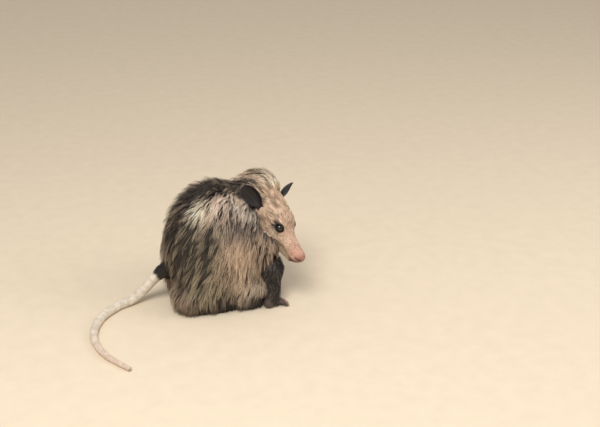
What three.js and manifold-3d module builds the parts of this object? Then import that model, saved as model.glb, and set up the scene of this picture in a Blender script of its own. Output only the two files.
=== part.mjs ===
// A crouching adult Virginia opossum, life size, with its head turned to its right.
// Millimetres, +Z up. +X is the way the body faces, +Y is the animal's left, and the
// floor is z = 0. The origin lies on the flat under the belly.
import * as THREE from "three";
import { mergeVertices } from "three/addons/utils/BufferGeometryUtils.js";
import Module from "manifold-3d";

const wasm = await Module();
wasm.setup();

// Driving dimensions
const GAP = 0.35;
const BIG = 600;

// Coat: how far inside the tips the core lies, and the locks that reach from it to the tips
const CORE_INSET = 9;
const LOCK = {
  length: 50, width: 32, thick: 4.5, sink: 7, hold: 6, rise: 9.5, spacing: 24, seed: 11,
};
const LOCK_WIDTHS = [0.75, 1, 0.95, 0.62];
const LOCK_DEPTHS = [1, 1, 0.8, 0.5];

// Trunk, measured to the tips of the coat
const HUMP = { at: [-8, -8, 100], size: [80, 72, 91] };
const RUMP = { at: [-35, -8, 66], size: [57, 71, 78] };
const SHOULDER = { at: [38, -12, 80], size: [43, 60, 76] };
const THIGH = { at: [-18, 37, 34], size: [70, 40, 54] };
const ARM = { at: [50, 42, 92], size: [31, 29, 37] };
const BELLY = { at: [-6, -8, 30], size: [62, 36, 44] };
const SKIRTS = [
  { at: [22, -57, 25], size: [35, 34, 30] },
  { at: [-64, -40, 27], size: [34, 34, 31] },
];
const MIDLINE = -8;

// Where the trunk is parted: the neck's plane, the thigh's oval and the room for the feet
const NECK_CUT = { at: [48, -14, 137], normal: [0.7, -0.25, 0.66] };
const THIGH_CUT = { at: [-20, 56, 30], size: [70, 34, 58] };
const FOOT_ROOM = { back: -50, front: 50, inner: 20, height: 19 };

// Head: place of the nose tip and the way it faces
const NOSE_TIP = [92, -105, 83];
const HEAD_YAW = -68;
const HEAD_PITCH = 39;
const HEAD_ROLL = -10;

// Head sizes as [back from the nose tip, left, up]
const SNOUT = { front: [14.5, 0, -6.5], back: [58, 0, -2], radii: [10, 15] };
const CRANIUM = { at: [95, 0, 1.5], size: [38, 25.5, 26.5] };
const CHEEK = { at: [84, 13, -9], size: [25, 15, 19] };
const JAW = { front: [16, 0, -16], back: [74, 0, -20], radii: [7.5, 12.5] };
const SKULL_CUT = 114;
const BROW = { at: [64, 8, 8.5], size: [12, 8, 8] };
const EYE = { at: [56, 14.8, 7.5], radius: 5.8 };
const LID = { long: 7.3, high: 6.2, ahead: 4, radius: 1.5 };
const NOSE = { at: [6.5, 0, -5], radius: 8.2, cut: 7.5 };
const NOSTRIL = { inner: [-1.3, 3, -3.6], outer: [2.7, 7.5, -5.4], radius: 1.5 };
const MOUTH = { corner: [54, 17, -7], side: [31, 16, -12], front: [9, 4, -14], radius: 0.9 };
const LIP = { offset: 2.2, radius: 1.5 };
const EAR = {
  base: [101, 25.5, 10], length: 38, width: 25, thick: 1.4, room: 14,
  leanLeft: [0.15, 0.9, 0.4], leanRight: [0.34, 0.52, 0.78],
};

// Neck, from the back of the skull to the withers
const NECK = { top: [121, 0, 10], topRadius: 33, foot: [38, -8, 118], footRadius: 54 };
const NAPE = { at: [47, -10, 152], size: [38, 36, 42] };

// Legs
const FORELEG = {
  right: { shoulder: [48, -46, 84], elbow: [57, -64, 56], wrist: [51, -80, 16], toe: 14 },
  left: { shoulder: [48, 28, 84], elbow: [55, 34, 56], wrist: [62, 30, 16], toe: -4 },
};
const FORELEG_RADII = { shoulder: 13, elbow: 16, wrist: 11 };
const FOREPAW = { heel: 7, length: 16, width: 22, toe: 12, toeRadius: 3.1, wristCut: 17 };
const HIND = {
  right: { heel: [-32, -48], ball: [12, -54] },
  left: { heel: [-32, 32], ball: [12, 38] },
};
const HINDFOOT = { width: 22, radius: 8, ankle: 10, toe: 15, toeRadius: 3.2 };

// Tail: a curve on the floor, thick and furred at the root, then bare and tapering
const TAIL_POINTS = [
  [-80, -6, 64], [-104, 5, 43], [-121, 12, 22], [-140, 13, 8.6], [-168, 4, 6.5],
  [-200, -22, 6], [-221, -66, 5.3], [-219, -118, 4.3], [-198, -168, 3],
];
const TAIL_RADII = [12, 8.4, 7.5, 7.2, 6.8, 6.3, 5.6, 4.6, 3.2];
const TAIL_ROOT_SHARE = 0.1;
const TAIL_LENGTHS = 4;

// Colours
const SKIN = {
  coat: new THREE.MeshStandardMaterial({ color: 0x8d8273, roughness: 0.95 }),
  face: new THREE.MeshStandardMaterial({ color: 0xcbb598, roughness: 0.95 }),
  leg: new THREE.MeshStandardMaterial({ color: 0x2a2624, roughness: 0.9 }),
  ear: new THREE.MeshStandardMaterial({ color: 0x1c1918, roughness: 0.7 }),
  nose: new THREE.MeshStandardMaterial({ color: 0xd08a80, roughness: 0.5 }),
  eye: new THREE.MeshStandardMaterial({ color: 0x070605, roughness: 0.1 }),
  tail: new THREE.MeshStandardMaterial({ color: 0xd9cdbd, roughness: 0.6 }),
  paw: new THREE.MeshStandardMaterial({ color: 0x4a3c38, roughness: 0.7 }),
};

// Vectors and the head's own axes
const vec = (a) => new THREE.Vector3(a[0], a[1], a[2]);
const rad = THREE.MathUtils.degToRad;

const forward = new THREE.Vector3(
  Math.cos(rad(HEAD_YAW)) * Math.cos(rad(HEAD_PITCH)),
  Math.sin(rad(HEAD_YAW)) * Math.cos(rad(HEAD_PITCH)),
  -Math.sin(rad(HEAD_PITCH)),
);
const left = new THREE.Vector3(-Math.sin(rad(HEAD_YAW)), Math.cos(rad(HEAD_YAW)), 0);
left.applyAxisAngle(forward, rad(HEAD_ROLL));
const up = forward.clone().cross(left);

function onHead([back, side, high]) {
  return vec(NOSE_TIP).addScaledVector(forward, -back).addScaledVector(left, side)
    .addScaledVector(up, high);
}

function toHead(point) {
  const away = point.clone().sub(vec(NOSE_TIP));
  return new THREE.Vector3(-away.dot(forward), away.dot(left), away.dot(up));
}

const mirrored = (a, side) => [a[0], a[1] * side, a[2]];
const downward = new THREE.Vector3(0, 0, -1);
const upward = new THREE.Vector3(0, 0, 1);

// A seeded draw, so that the coat is the same each time
function randomFrom(seed) {
  let state = seed >>> 0;
  return () => {
    state = (state + 0x6d2b79f5) >>> 0;
    let t = Math.imul(state ^ (state >>> 15), 1 | state);
    t = (t + Math.imul(t ^ (t >>> 7), 61 | t)) ^ t;
    return ((t ^ (t >>> 14)) >>> 0) / 4294967296;
  };
}

// Distance fields: negative inside
function ellipsoid(p, at, size) {
  const x = p.x - at[0];
  const y = p.y - at[1];
  const z = p.z - at[2];
  const near = Math.hypot(x / size[0], y / size[1], z / size[2]);
  const slope = Math.hypot(x / size[0] ** 2, y / size[1] ** 2, z / size[2] ** 2);
  return slope < 1e-9 ? -Math.min(...size) : (near * (near - 1)) / slope;
}

function roundCone(p, a, b, ra, rb) {
  const axis = b.clone().sub(a);
  const share = THREE.MathUtils.clamp(p.clone().sub(a).dot(axis) / axis.lengthSq(), 0, 1);
  const nearest = a.clone().addScaledVector(axis, share);
  return p.distanceTo(nearest) - THREE.MathUtils.lerp(ra, rb, share);
}

function blend(a, b, k) {
  const h = Math.max(k - Math.abs(a - b), 0) / k;
  return Math.min(a, b) - (h * h * k) / 4;
}

function slopeOf(field, p) {
  const e = 0.5;
  const q = p.clone();
  const along = (axis) => {
    q[axis] += e;
    const ahead = field(q);
    q[axis] -= 2 * e;
    const behind = field(q);
    q[axis] += e;
    return ahead - behind;
  };
  return new THREE.Vector3(along("x"), along("y"), along("z")).normalize();
}

function settle(field, p, level) {
  const q = p.clone();
  for (let i = 0; i < 3; i += 1) q.addScaledVector(slopeOf(field, q), level - field(q));
  return q;
}

// Visits the places of a grid in turn
function eachPlace(from, to, visit) {
  for (let k = from; k < to[2]; k += 1) {
    for (let j = from; j < to[1]; j += 1) {
      for (let i = from; i < to[0]; i += 1) visit(i, j, k);
    }
  }
}

// The closed surface where a field is zero, from a grid of cells
function surfaceOf(field, low, high, cell) {
  const count = low.map((v, i) => Math.ceil((high[i] - v) / cell) + 1);
  const index = (i, j, k) => (k * count[1] + j) * count[0] + i;
  const place = (i, j, k) => new THREE.Vector3(i, j, k).multiplyScalar(cell).add(vec(low));
  const value = new Float64Array(count[0] * count[1] * count[2]);
  eachPlace(0, count, (i, j, k) => {
    value[index(i, j, k)] = field(place(i, j, k));
  });

  const corners = [0, 1, 2, 3, 4, 5, 6, 7].map((n) => [n & 1, (n >> 1) & 1, (n >> 2) & 1]);
  const edges = [];
  for (let a = 0; a < 8; a += 1) {
    for (const bit of [1, 2, 4]) {
      if (!(a & bit)) edges.push([a, a | bit]);
    }
  }

  // One vertex in each cell that the surface passes through
  const vertexAt = new Map();
  const positions = [];
  const last = count.map((n) => n - 1);
  eachPlace(0, last, (i, j, k) => {
    const values = corners.map(([a, b, c]) => value[index(i + a, j + b, k + c)]);
    const middle = new THREE.Vector3();
    let crossings = 0;
    for (const [a, b] of edges) {
      if (values[a] < 0 === values[b] < 0) continue;
      const share = values[a] / (values[a] - values[b]);
      const start = place(i + corners[a][0], j + corners[a][1], k + corners[a][2]);
      const end = place(i + corners[b][0], j + corners[b][1], k + corners[b][2]);
      middle.add(start.lerp(end, share));
      crossings += 1;
    }
    if (!crossings) return;
    const point = settle(field, middle.divideScalar(crossings), 0);
    vertexAt.set(index(i, j, k), positions.length / 3);
    positions.push(point.x, point.y, point.z);
  });

  // Two triangles round each grid edge that the surface crosses
  const triangles = [];
  const at = (n) => new THREE.Vector3().fromArray(positions, 3 * n);
  const quad = (a, b, c, d) => {
    const first = at(a).distanceToSquared(at(c)) < at(b).distanceToSquared(at(d));
    if (first) triangles.push(a, b, c, a, c, d);
    else triangles.push(a, b, d, b, c, d);
  };
  const steps = [[1, 0, 0], [0, 1, 0], [0, 0, 1]];
  eachPlace(1, last, (i, j, k) => {
    const here = value[index(i, j, k)] < 0;
    steps.forEach((step, axis) => {
      const next = value[index(i + step[0], j + step[1], k + step[2])] < 0;
      if (here === next) return;
      const u = steps[(axis + 1) % 3];
      const v = steps[(axis + 2) % 3];
      const cellAt = (a, b) => vertexAt.get(
        index(i - u[0] * a - v[0] * b, j - u[1] * a - v[1] * b, k - u[2] * a - v[2] * b),
      );
      const ring = [cellAt(1, 1), cellAt(0, 1), cellAt(0, 0), cellAt(1, 0)];
      if (!here) ring.reverse();
      quad(...ring);
    });
  });
  return solidFrom(positions, triangles);
}

// Solids: closed meshes joined and cut
function solidFrom(positions, triangles) {
  const mesh = new wasm.Mesh({
    numProp: 3,
    vertProperties: new Float32Array(positions),
    triVerts: new Uint32Array(triangles),
  });
  return new wasm.Manifold(mesh);
}

function solidOf(geometry) {
  const bare = geometry.clone();
  bare.deleteAttribute("normal");
  bare.deleteAttribute("uv");
  const merged = mergeVertices(bare, 1e-4);
  return solidFrom(merged.attributes.position.array, merged.index.array);
}

function largest(solid) {
  const pieces = solid.decompose();
  pieces.sort((a, b) => b.volume() - a.volume());
  return pieces[0];
}

// The same closed mesh with each corner moved out along its own normal
function grown(solid, by) {
  const { vertProperties, triVerts } = solid.getMesh();
  const geometry = new THREE.BufferGeometry();
  geometry.setAttribute("position", new THREE.BufferAttribute(new Float32Array(vertProperties), 3));
  geometry.setIndex(new THREE.BufferAttribute(new Uint32Array(triVerts), 1));
  geometry.computeVertexNormals();
  const { position, normal } = geometry.attributes;
  const moved = Array.from(position.array, (v, i) => v + normal.array[i] * by);
  return solidFrom(moved, triVerts);
}

// A half of space as a very large block whose face passes through a point
function halfSpace(point, normal) {
  const block = new THREE.BoxGeometry(BIG, BIG, BIG);
  block.translate(0, 0, BIG / 2);
  const turn = new THREE.Quaternion().setFromUnitVectors(new THREE.Vector3(0, 0, 1), normal);
  block.applyQuaternion(turn);
  block.translate(point.x, point.y, point.z);
  return solidOf(block);
}

const underFloor = halfSpace(new THREE.Vector3(), new THREE.Vector3(0, 0, -1));

// A tube of round sections along a curve, with low cones for ends
function tube(points, radii, sides, rings) {
  const curve = new THREE.CatmullRomCurve3(points, false, "centripetal");
  const frames = curve.computeFrenetFrames(rings, false);
  const positions = [];
  const triangles = [];
  for (let i = 0; i <= rings; i += 1) {
    const centre = curve.getPoint(i / rings);
    const place = (i / rings) * (radii.length - 1);
    const low = Math.min(Math.floor(place), radii.length - 2);
    const radius = THREE.MathUtils.lerp(radii[low], radii[low + 1], place - low);
    for (let s = 0; s < sides; s += 1) {
      const turn = (2 * Math.PI * s) / sides;
      const out = frames.normals[i].clone().multiplyScalar(Math.cos(turn) * radius)
        .addScaledVector(frames.binormals[i], Math.sin(turn) * radius);
      const p = centre.clone().add(out);
      positions.push(p.x, p.y, p.z);
    }
  }
  for (let i = 0; i < rings; i += 1) {
    for (let s = 0; s < sides; s += 1) {
      const a = i * sides + s;
      const b = i * sides + ((s + 1) % sides);
      triangles.push(a, b, b + sides, a, b + sides, a + sides);
    }
  }
  const first = positions.length / 3;
  const start = curve.getPoint(0).addScaledVector(curve.getTangent(0), -radii[0] * 0.45);
  const finish = curve.getPoint(1).addScaledVector(curve.getTangent(1), radii.at(-1) * 0.45);
  positions.push(start.x, start.y, start.z, finish.x, finish.y, finish.z);
  for (let s = 0; s < sides; s += 1) {
    const next = (s + 1) % sides;
    triangles.push(first, next, s, first + 1, rings * sides + s, rings * sides + next);
  }
  const solid = solidFrom(positions, triangles);
  return solid.volume() < 0 ? solidFrom(positions, triangles.reverse()) : solid;
}

// Fields of the body's parts, to the tips of the coat
const beside = ([x, y, z], side) => [x, MIDLINE + y * side, z];

function trunkField(p) {
  const hump = ellipsoid(p, HUMP.at, HUMP.size);
  const rump = ellipsoid(p, RUMP.at, RUMP.size);
  const shoulder = ellipsoid(p, SHOULDER.at, SHOULDER.size);
  const belly = ellipsoid(p, BELLY.at, BELLY.size);
  let f = blend(blend(blend(hump, rump, 30), shoulder, 30), belly, 12);
  for (const side of [1, -1]) f = blend(f, ellipsoid(p, beside(ARM.at, side), ARM.size), 16);
  return f;
}

const neckTop = onHead(NECK.top);
const neckFoot = vec(NECK.foot);
const neckField = (p) => roundCone(p, neckTop, neckFoot, NECK.topRadius, NECK.footRadius);

function headField(p) {
  const q = toHead(p);
  let f = roundCone(q, vec(SNOUT.front), vec(SNOUT.back), SNOUT.radii[0], SNOUT.radii[1]);
  f = blend(f, ellipsoid(q, CRANIUM.at, CRANIUM.size), 26);
  f = blend(f, roundCone(q, vec(JAW.front), vec(JAW.back), JAW.radii[0], JAW.radii[1]), 6);
  f = blend(f, q.distanceTo(vec(NOSE.at)) - NOSE.radius, 8);
  for (const side of [1, -1]) {
    f = blend(f, ellipsoid(q, mirrored(CHEEK.at, side), CHEEK.size), 14);
    f = blend(f, ellipsoid(q, mirrored(BROW.at, side), BROW.size), 10);
  }
  return f;
}

// The whole coat, for walking locks along the body
function coatField(p) {
  let f = blend(trunkField(p), neckField(p), 18);
  f = blend(f, ellipsoid(p, NAPE.at, NAPE.size), 14);
  for (const side of [1, -1]) f = blend(f, ellipsoid(p, beside(THIGH.at, side), THIGH.size), 22);
  for (const skirt of SKIRTS) f = blend(f, ellipsoid(p, skirt.at, skirt.size), 12);
  return f;
}

const coreField = (p) => coatField(p) + CORE_INSET;

// The lie of the coat: back along the body and down its sides
function lieAt(normal, turn) {
  const way = new THREE.Vector3(-0.75, 0, -0.3 - 0.9 * (1 - normal.z));
  way.addScaledVector(normal, -way.dot(normal)).normalize();
  return way.applyAxisAngle(normal, turn);
}

// One flat, tapered lock that rises from under the core and bends along the body
function lockAt(root, shape, extra) {
  const positions = [];
  const triangles = [];
  const rings = LOCK_WIDTHS.length;
  let foot = root.clone();
  for (let i = 0; i <= rings; i += 1) {
    const share = i / rings;
    const normal = slopeOf(coreField, foot);
    const way = lieAt(normal, shape.turn + shape.bend * share);
    const across = normal.clone().cross(way);
    const height = (LOCK.sink + shape.rise) * Math.sin((share * Math.PI) / 2) - LOCK.sink;
    const centre = foot.clone().addScaledVector(normal, height);
    if (i === rings) {
      centre.addScaledVector(way, extra);
      positions.push(centre.x, centre.y, centre.z);
      break;
    }
    const half = (shape.width * LOCK_WIDTHS[i]) / 2 + extra;
    const thick = (LOCK.thick * LOCK_DEPTHS[i]) / 2 + 1.4 * extra;
    const droop = (half * half) / 110;
    for (const [side, high] of [[-1, -0.4], [0, 1], [1, -0.4]]) {
      const p = centre.clone().addScaledVector(across, side * half)
        .addScaledVector(normal, high * thick - Math.abs(side) * droop);
      positions.push(p.x, p.y, p.z);
    }
    const hang = THREE.MathUtils.clamp(-2.5 * normal.z, 0, 1);
    const step = way.clone().multiplyScalar(1 - hang).addScaledVector(downward, hang);
    const next = foot.clone().addScaledVector(step.normalize(), shape.length / rings);
    foot = settle(coreField, next, 0).lerp(next, hang);
  }
  for (let i = 0; i < rings - 1; i += 1) {
    for (let k = 0; k < 3; k += 1) {
      const a = i * 3 + k;
      const b = i * 3 + ((k + 1) % 3);
      triangles.push(a, b, b + 3, a, b + 3, a + 3);
    }
  }
  const tip = rings * 3;
  for (let k = 0; k < 3; k += 1) triangles.push(tip - 3 + k, tip - 3 + ((k + 1) % 3), tip);
  triangles.push(0, 2, 1);
  const solid = solidFrom(positions, triangles);
  return solid.volume() < 0 ? solidFrom(positions, triangles.reverse()) : solid;
}

// Places for the locks: spread evenly over the core, at least one spacing apart
function lockRoots(core) {
  const { vertProperties, triVerts } = core.getMesh();
  const corner = (n) => new THREE.Vector3().fromArray(vertProperties, 3 * triVerts[n]);
  const faces = [];
  let area = 0;
  for (let n = 0; n < triVerts.length; n += 3) {
    const face = new THREE.Triangle(corner(n), corner(n + 1), corner(n + 2));
    area += face.getArea();
    faces.push({ face, until: area });
  }
  const draw = randomFrom(LOCK.seed);
  const roots = [];
  for (let tries = 0; tries < 6000; tries += 1) {
    const place = draw() * area;
    const { face } = faces.find((entry) => entry.until >= place);
    const u = Math.sqrt(draw());
    const v = draw();
    const p = face.a.clone().multiplyScalar(1 - u).addScaledVector(face.b, u * (1 - v))
      .addScaledVector(face.c, u * v);
    const normal = slopeOf(coreField, p);
    const shape = {
      length: LOCK.length * (0.85 + 0.3 * draw()),
      width: LOCK.width * (0.85 + 0.3 * draw()),
      rise: LOCK.rise * (0.8 + 0.4 * draw()),
      turn: 0.5 * (draw() - 0.5),
      bend: 0.7 * (draw() - 0.5),
    };
    const fall = -lieAt(normal, 0).z;
    const room = fall > 0.1 ? (p.z - 4) / fall : shape.length;
    shape.length = Math.min(shape.length, room);
    if (shape.length < 20 || normal.z < -0.35 || headField(p) < 4) continue;
    if (roots.some((other) => other.p.distanceTo(p) < LOCK.spacing)) continue;
    roots.push({ p, shape, hold: p.clone().addScaledVector(lieAt(normal, shape.turn), LOCK.hold) });
  }
  return roots;
}

// Nodes
const nodes = new Map();
const keep = (name, solid, material) => nodes.set(name, { solid, material });

const BODY_LOW = [-133, -127, -61];
const BODY_HIGH = [130, 113, 247];

const bodyWhole = surfaceOf(coreField, BODY_LOW, BODY_HIGH, 15);
const headWhole = surfaceOf(headField, [20, -150, 40], [140, 60, 230], 7.6);

function eyeSolid(side, extra) {
  const ball = new THREE.SphereGeometry(EYE.radius + extra, 12, 8);
  const centre = onHead(mirrored(EYE.at, side));
  ball.translate(centre.x, centre.y, centre.z);
  return solidOf(ball);
}

function makeLeg(side) {
  const { shoulder, elbow, wrist } = FORELEG[side];
  const field = (p) => blend(
    roundCone(p, vec(shoulder), vec(elbow), FORELEG_RADII.shoulder, FORELEG_RADII.elbow),
    roundCone(p, vec(elbow), vec(wrist), FORELEG_RADII.elbow, FORELEG_RADII.wrist),
    8,
  );
  return surfaceOf(field, [-10, -113, -20], [115, 93, 125], 9);
}

// Five toes that fan out from a palm or a ball and come down to the floor
function addToes(solid, palm, heading, size, fan) {
  const across = new THREE.Vector3(-heading.y, heading.x, 0);
  let foot = solid;
  for (let i = -2; i <= 2; i += 1) {
    const way = heading.clone().applyAxisAngle(upward, i * fan);
    const root = palm.clone().addScaledVector(across, i * size.width * 0.17);
    const points = [
      root.clone(),
      root.clone().addScaledVector(way, size.toe * 0.5).setZ(7.2),
      root.clone().addScaledVector(way, size.toe).setZ(2.6),
      root.clone().addScaledVector(way, size.toe + 5).setZ(1.2),
    ];
    const r = size.toeRadius;
    foot = foot.add(tube(points, [r, r * 0.95, r * 0.8, 0.8], 4, 4));
  }
  return foot;
}

function makePaw(side) {
  const { wrist, toe } = FORELEG[side];
  const heading = new THREE.Vector3(Math.cos(rad(toe)), Math.sin(rad(toe)), 0);
  const heel = vec(wrist).setZ(8).addScaledVector(heading, -FOREPAW.heel);
  const palm = heel.clone().addScaledVector(heading, FOREPAW.length);
  const field = (p) => blend(
    roundCone(p, vec(wrist).setZ(26), heel, FORELEG_RADII.wrist, FORELEG_RADII.wrist - 1),
    roundCone(p, heel, palm, 10, 8),
    6,
  );
  const block = surfaceOf(field, [20, -110, -20], [130, 80, 50], 8.5);
  return addToes(block, palm, heading, FOREPAW, 0.34);
}

function makeFoot(side) {
  const heel = new THREE.Vector3(...HIND[side].heel, 7);
  const ball = new THREE.Vector3(...HIND[side].ball, 6);
  const heading = ball.clone().sub(heel).setZ(0).normalize();
  const ankle = heel.clone().addScaledVector(heading, 8).setZ(26);
  const field = (p) => blend(
    roundCone(p, heel, ball, HINDFOOT.radius, HINDFOOT.radius),
    roundCone(p, ankle, heel.clone().addScaledVector(heading, 4), HINDFOOT.ankle, 8),
    8,
  );
  const block = surfaceOf(field, [-75, -110, -20], [60, 90, 60], 9);
  return addToes(block, ball, heading, HINDFOOT, 0.24);
}

// Lids, lips and the line of the mouth, laid on the head's own surface
function aroundEye(side, from, to) {
  const out = left.clone().multiplyScalar(side * 0.8).addScaledVector(up, 0.5)
    .addScaledVector(forward, 0.3).normalize();
  const along = forward.clone().addScaledVector(out, -forward.dot(out)).normalize();
  const high = out.clone().cross(along).multiplyScalar(-side);
  const centre = onHead(mirrored(EYE.at, side)).addScaledVector(out, LID.ahead);
  const points = [];
  for (let i = 0; i <= 6; i += 1) {
    const turn = THREE.MathUtils.lerp(from, to, i / 6);
    points.push(centre.clone().addScaledVector(along, Math.cos(turn) * LID.long)
      .addScaledVector(high, Math.sin(turn) * LID.high));
  }
  const r = LID.radius;
  return tube(points, [0.7 * r, r, r, r, 0.7 * r], 5, 5);
}

function mouthPath(offset) {
  const { corner, side, front } = MOUTH;
  const leftSide = [corner, side, front].map((a) => [a[0], a[1], a[2] + offset]);
  const rightSide = leftSide.map((a) => mirrored(a, -1)).reverse();
  const path = [...leftSide, ...rightSide].map(onHead);
  const curve = new THREE.CatmullRomCurve3(path, false, "centripetal");
  return curve.getPoints(16).map((p) => settle(headField, p, 0));
}

const mouthCut = () => tube(mouthPath(0), [0.5, MOUTH.radius, MOUTH.radius, 0.5], 4, 12);

function lip(high) {
  const r = LIP.radius;
  return tube(mouthPath(high * LIP.offset), [0.3 * r, r, r, 0.3 * r], 4, 12);
}

function nostril(side) {
  const ends = [NOSTRIL.inner, NOSTRIL.outer].map((a) => onHead(mirrored(a, side)));
  return tube(ends, [NOSTRIL.radius, NOSTRIL.radius * 0.6], 6, 3);
}

// A smooth oval block with few faces, for parting the thighs from the trunk
function ovalBlock({ at, size }, side, extra) {
  const ball = new THREE.IcosahedronGeometry(1, 2);
  ball.scale(size[0] + extra, size[1] + extra, size[2] + extra);
  ball.translate(...beside(at, side));
  return solidOf(ball);
}

function footRoom(side) {
  const { back, front, inner, height } = FOOT_ROOM;
  const room = new THREE.BoxGeometry(front - back, 90, height + 40);
  room.translate((back + front) / 2, MIDLINE + side * (inner + 45), height / 2 - 20);
  return solidOf(room);
}

// An ear: a curved leaf, thin and cupped, on a narrow foot. The room that the coat
// leaves round it is the same leaf, wider and deeper on its open side.
function makeEar(side, extra = 0, ahead = 0) {
  const lean = side > 0 ? EAR.leanLeft : EAR.leanRight;
  const out = left.clone().multiplyScalar(side);
  const along = up.clone().multiplyScalar(lean[0]).addScaledVector(out, lean[1])
    .addScaledVector(forward, -lean[2]).normalize();
  const open = forward.clone().multiplyScalar(0.6).addScaledVector(out, 0.75)
    .addScaledVector(up, 0.15);
  open.addScaledVector(along, -open.dot(along)).normalize();
  const across = along.clone().cross(open);
  const root = onHead(mirrored(EAR.base, side)).addScaledVector(along, -6);
  const rows = 7;
  const columns = 7;
  const positions = [];
  for (const face of [0, 1]) {
    for (let i = 0; i <= rows; i += 1) {
      const v = i / rows;
      const broad = Math.sqrt(Math.max(1 - ((v - 0.56) / 0.46) ** 2, 0.02));
      const half = (EAR.width / 2) * Math.max(broad, 0.42 * (1 - v) ** 0.5) + extra;
      const curl = 1.15 - 0.45 * v;
      for (let j = 0; j <= columns; j += 1) {
        const turn = ((2 * j) / columns - 1) * curl;
        const depth = 1.65 * half * (1 - Math.cos(turn)) - 5 * Math.sin(v * Math.PI);
        const p = root.clone()
          .addScaledVector(along, v * (EAR.length + 6 + 2 * extra) - extra)
          .addScaledVector(across, (half * Math.sin(turn)) / Math.sin(curl))
          .addScaledVector(open, depth + (face ? EAR.thick + extra + ahead : -extra));
        positions.push(p.x, p.y, p.z);
      }
    }
  }
  const wide = columns + 1;
  const size = (rows + 1) * wide;
  const triangles = [];
  const quad = (a, b, c, d) => triangles.push(a, b, c, a, c, d);
  for (let i = 0; i < rows; i += 1) {
    for (let j = 0; j < columns; j += 1) {
      const a = i * wide + j;
      quad(a, a + wide, a + wide + 1, a + 1);
      quad(size + a, size + a + 1, size + a + wide + 1, size + a + wide);
    }
  }
  const rim = [];
  for (let j = 0; j < columns; j += 1) rim.push(j);
  for (let i = 0; i < rows; i += 1) rim.push(i * wide + columns);
  for (let j = columns; j > 0; j -= 1) rim.push(rows * wide + j);
  for (let i = rows; i > 0; i -= 1) rim.push(i * wide);
  rim.forEach((a, n) => {
    const b = rim[(n + 1) % rim.length];
    quad(a, b, size + b, size + a);
  });
  const solid = solidFrom(positions, triangles);
  return solid.volume() < 0 ? solidFrom(positions, triangles.reverse()) : solid;
}

// Tail cut into lengths across its own curve
const tailCurve = new THREE.CatmullRomCurve3(TAIL_POINTS.map(vec), false, "centripetal");
const tailWhole = tube(TAIL_POINTS.map(vec), TAIL_RADII, 10, 30).subtract(underFloor);

function tailPiece(from, to) {
  let piece = tailWhole;
  if (from > 0) {
    const back = tailCurve.getPoint(from);
    const way = tailCurve.getTangent(from);
    piece = piece.subtract(halfSpace(back.addScaledVector(way, GAP / 2), way.clone().negate()));
  }
  if (to < 1) {
    const ahead = tailCurve.getPoint(to);
    const way = tailCurve.getTangent(to);
    piece = piece.subtract(halfSpace(ahead.addScaledVector(way, -GAP / 2), way));
  }
  return largest(piece);
}

const sides = { left: 1, right: -1 };
const atHeight = (z) => new THREE.Vector3(0, 0, z);

// Head and nose
const sockets = eyeSolid(1, GAP).add(eyeSolid(-1, GAP));
const noseFace = onHead([NOSE.cut, 0, 0]);
const skullBack = halfSpace(onHead([SKULL_CUT, 0, 0]), forward.clone().negate());
const skull = headWhole.subtract(skullBack);
const skullGrown = grown(skull, GAP);
const noseAhead = halfSpace(noseFace.clone().addScaledVector(forward, -GAP / 2), forward);
const noseBehind = halfSpace(noseFace.clone().addScaledVector(forward, GAP / 2), forward.clone().negate());
let face = skull.add(lip(1)).add(lip(-1)).subtract(mouthCut());
for (const side of [1, -1]) {
  face = face.add(aroundEye(side, 0, Math.PI)).add(aroundEye(side, Math.PI, 2 * Math.PI));
}
keep("head", face.subtract(sockets).subtract(noseAhead), SKIN.face);
const noseField = (p) => Math.max(headField(p), toHead(p).x - NOSE.cut - 4);
const noseWhole = surfaceOf(noseField, [70, -120, 65], [110, -80, 110], 4.2);
keep("nose", noseWhole.subtract(noseBehind).subtract(nostril(1)).subtract(nostril(-1)), SKIN.nose);

// Ears, forelegs and feet
const hard = [skullGrown];
for (const [name, side] of Object.entries(sides)) {
  keep("eye_" + name, eyeSolid(side, 0), SKIN.eye);
  keep("ear_" + name, makeEar(side).subtract(skullGrown), SKIN.ear);
  hard.push(makeEar(side, 2 * GAP, EAR.room));

  const wristCut = halfSpace(atHeight(FOREPAW.wristCut), upward);
  const wristRoom = halfSpace(atHeight(FOREPAW.wristCut + GAP), downward);
  const paw = makePaw(name).subtract(underFloor).subtract(wristCut);
  const leg = makeLeg(name).subtract(wristRoom).subtract(skullGrown);
  keep("forepaw_" + name, paw, SKIN.paw);
  keep("foreleg_" + name, leg, SKIN.leg);
  hard.push(grown(paw, 2 * GAP), grown(leg, GAP));

  const ankleCut = halfSpace(atHeight(FOOT_ROOM.height - GAP), upward);
  const foot = makeFoot(name).subtract(underFloor).subtract(ankleCut);
  keep("hind_foot_" + name, foot, SKIN.paw);
  hard.push(grown(foot, 2 * GAP));
}

// Tail
const stations = [0, TAIL_ROOT_SHARE];
for (let i = 1; i <= TAIL_LENGTHS; i += 1) {
  stations.push(TAIL_ROOT_SHARE + ((1 - TAIL_ROOT_SHARE) * i) / TAIL_LENGTHS);
}
for (let i = 0; i < stations.length - 1; i += 1) {
  const name = i ? "tail_" + i : "tail_root";
  keep(name, tailPiece(stations[i], stations[i + 1]), i ? SKIN.tail : SKIN.leg);
}
hard.push(grown(nodes.get("tail_root").solid, GAP));

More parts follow.
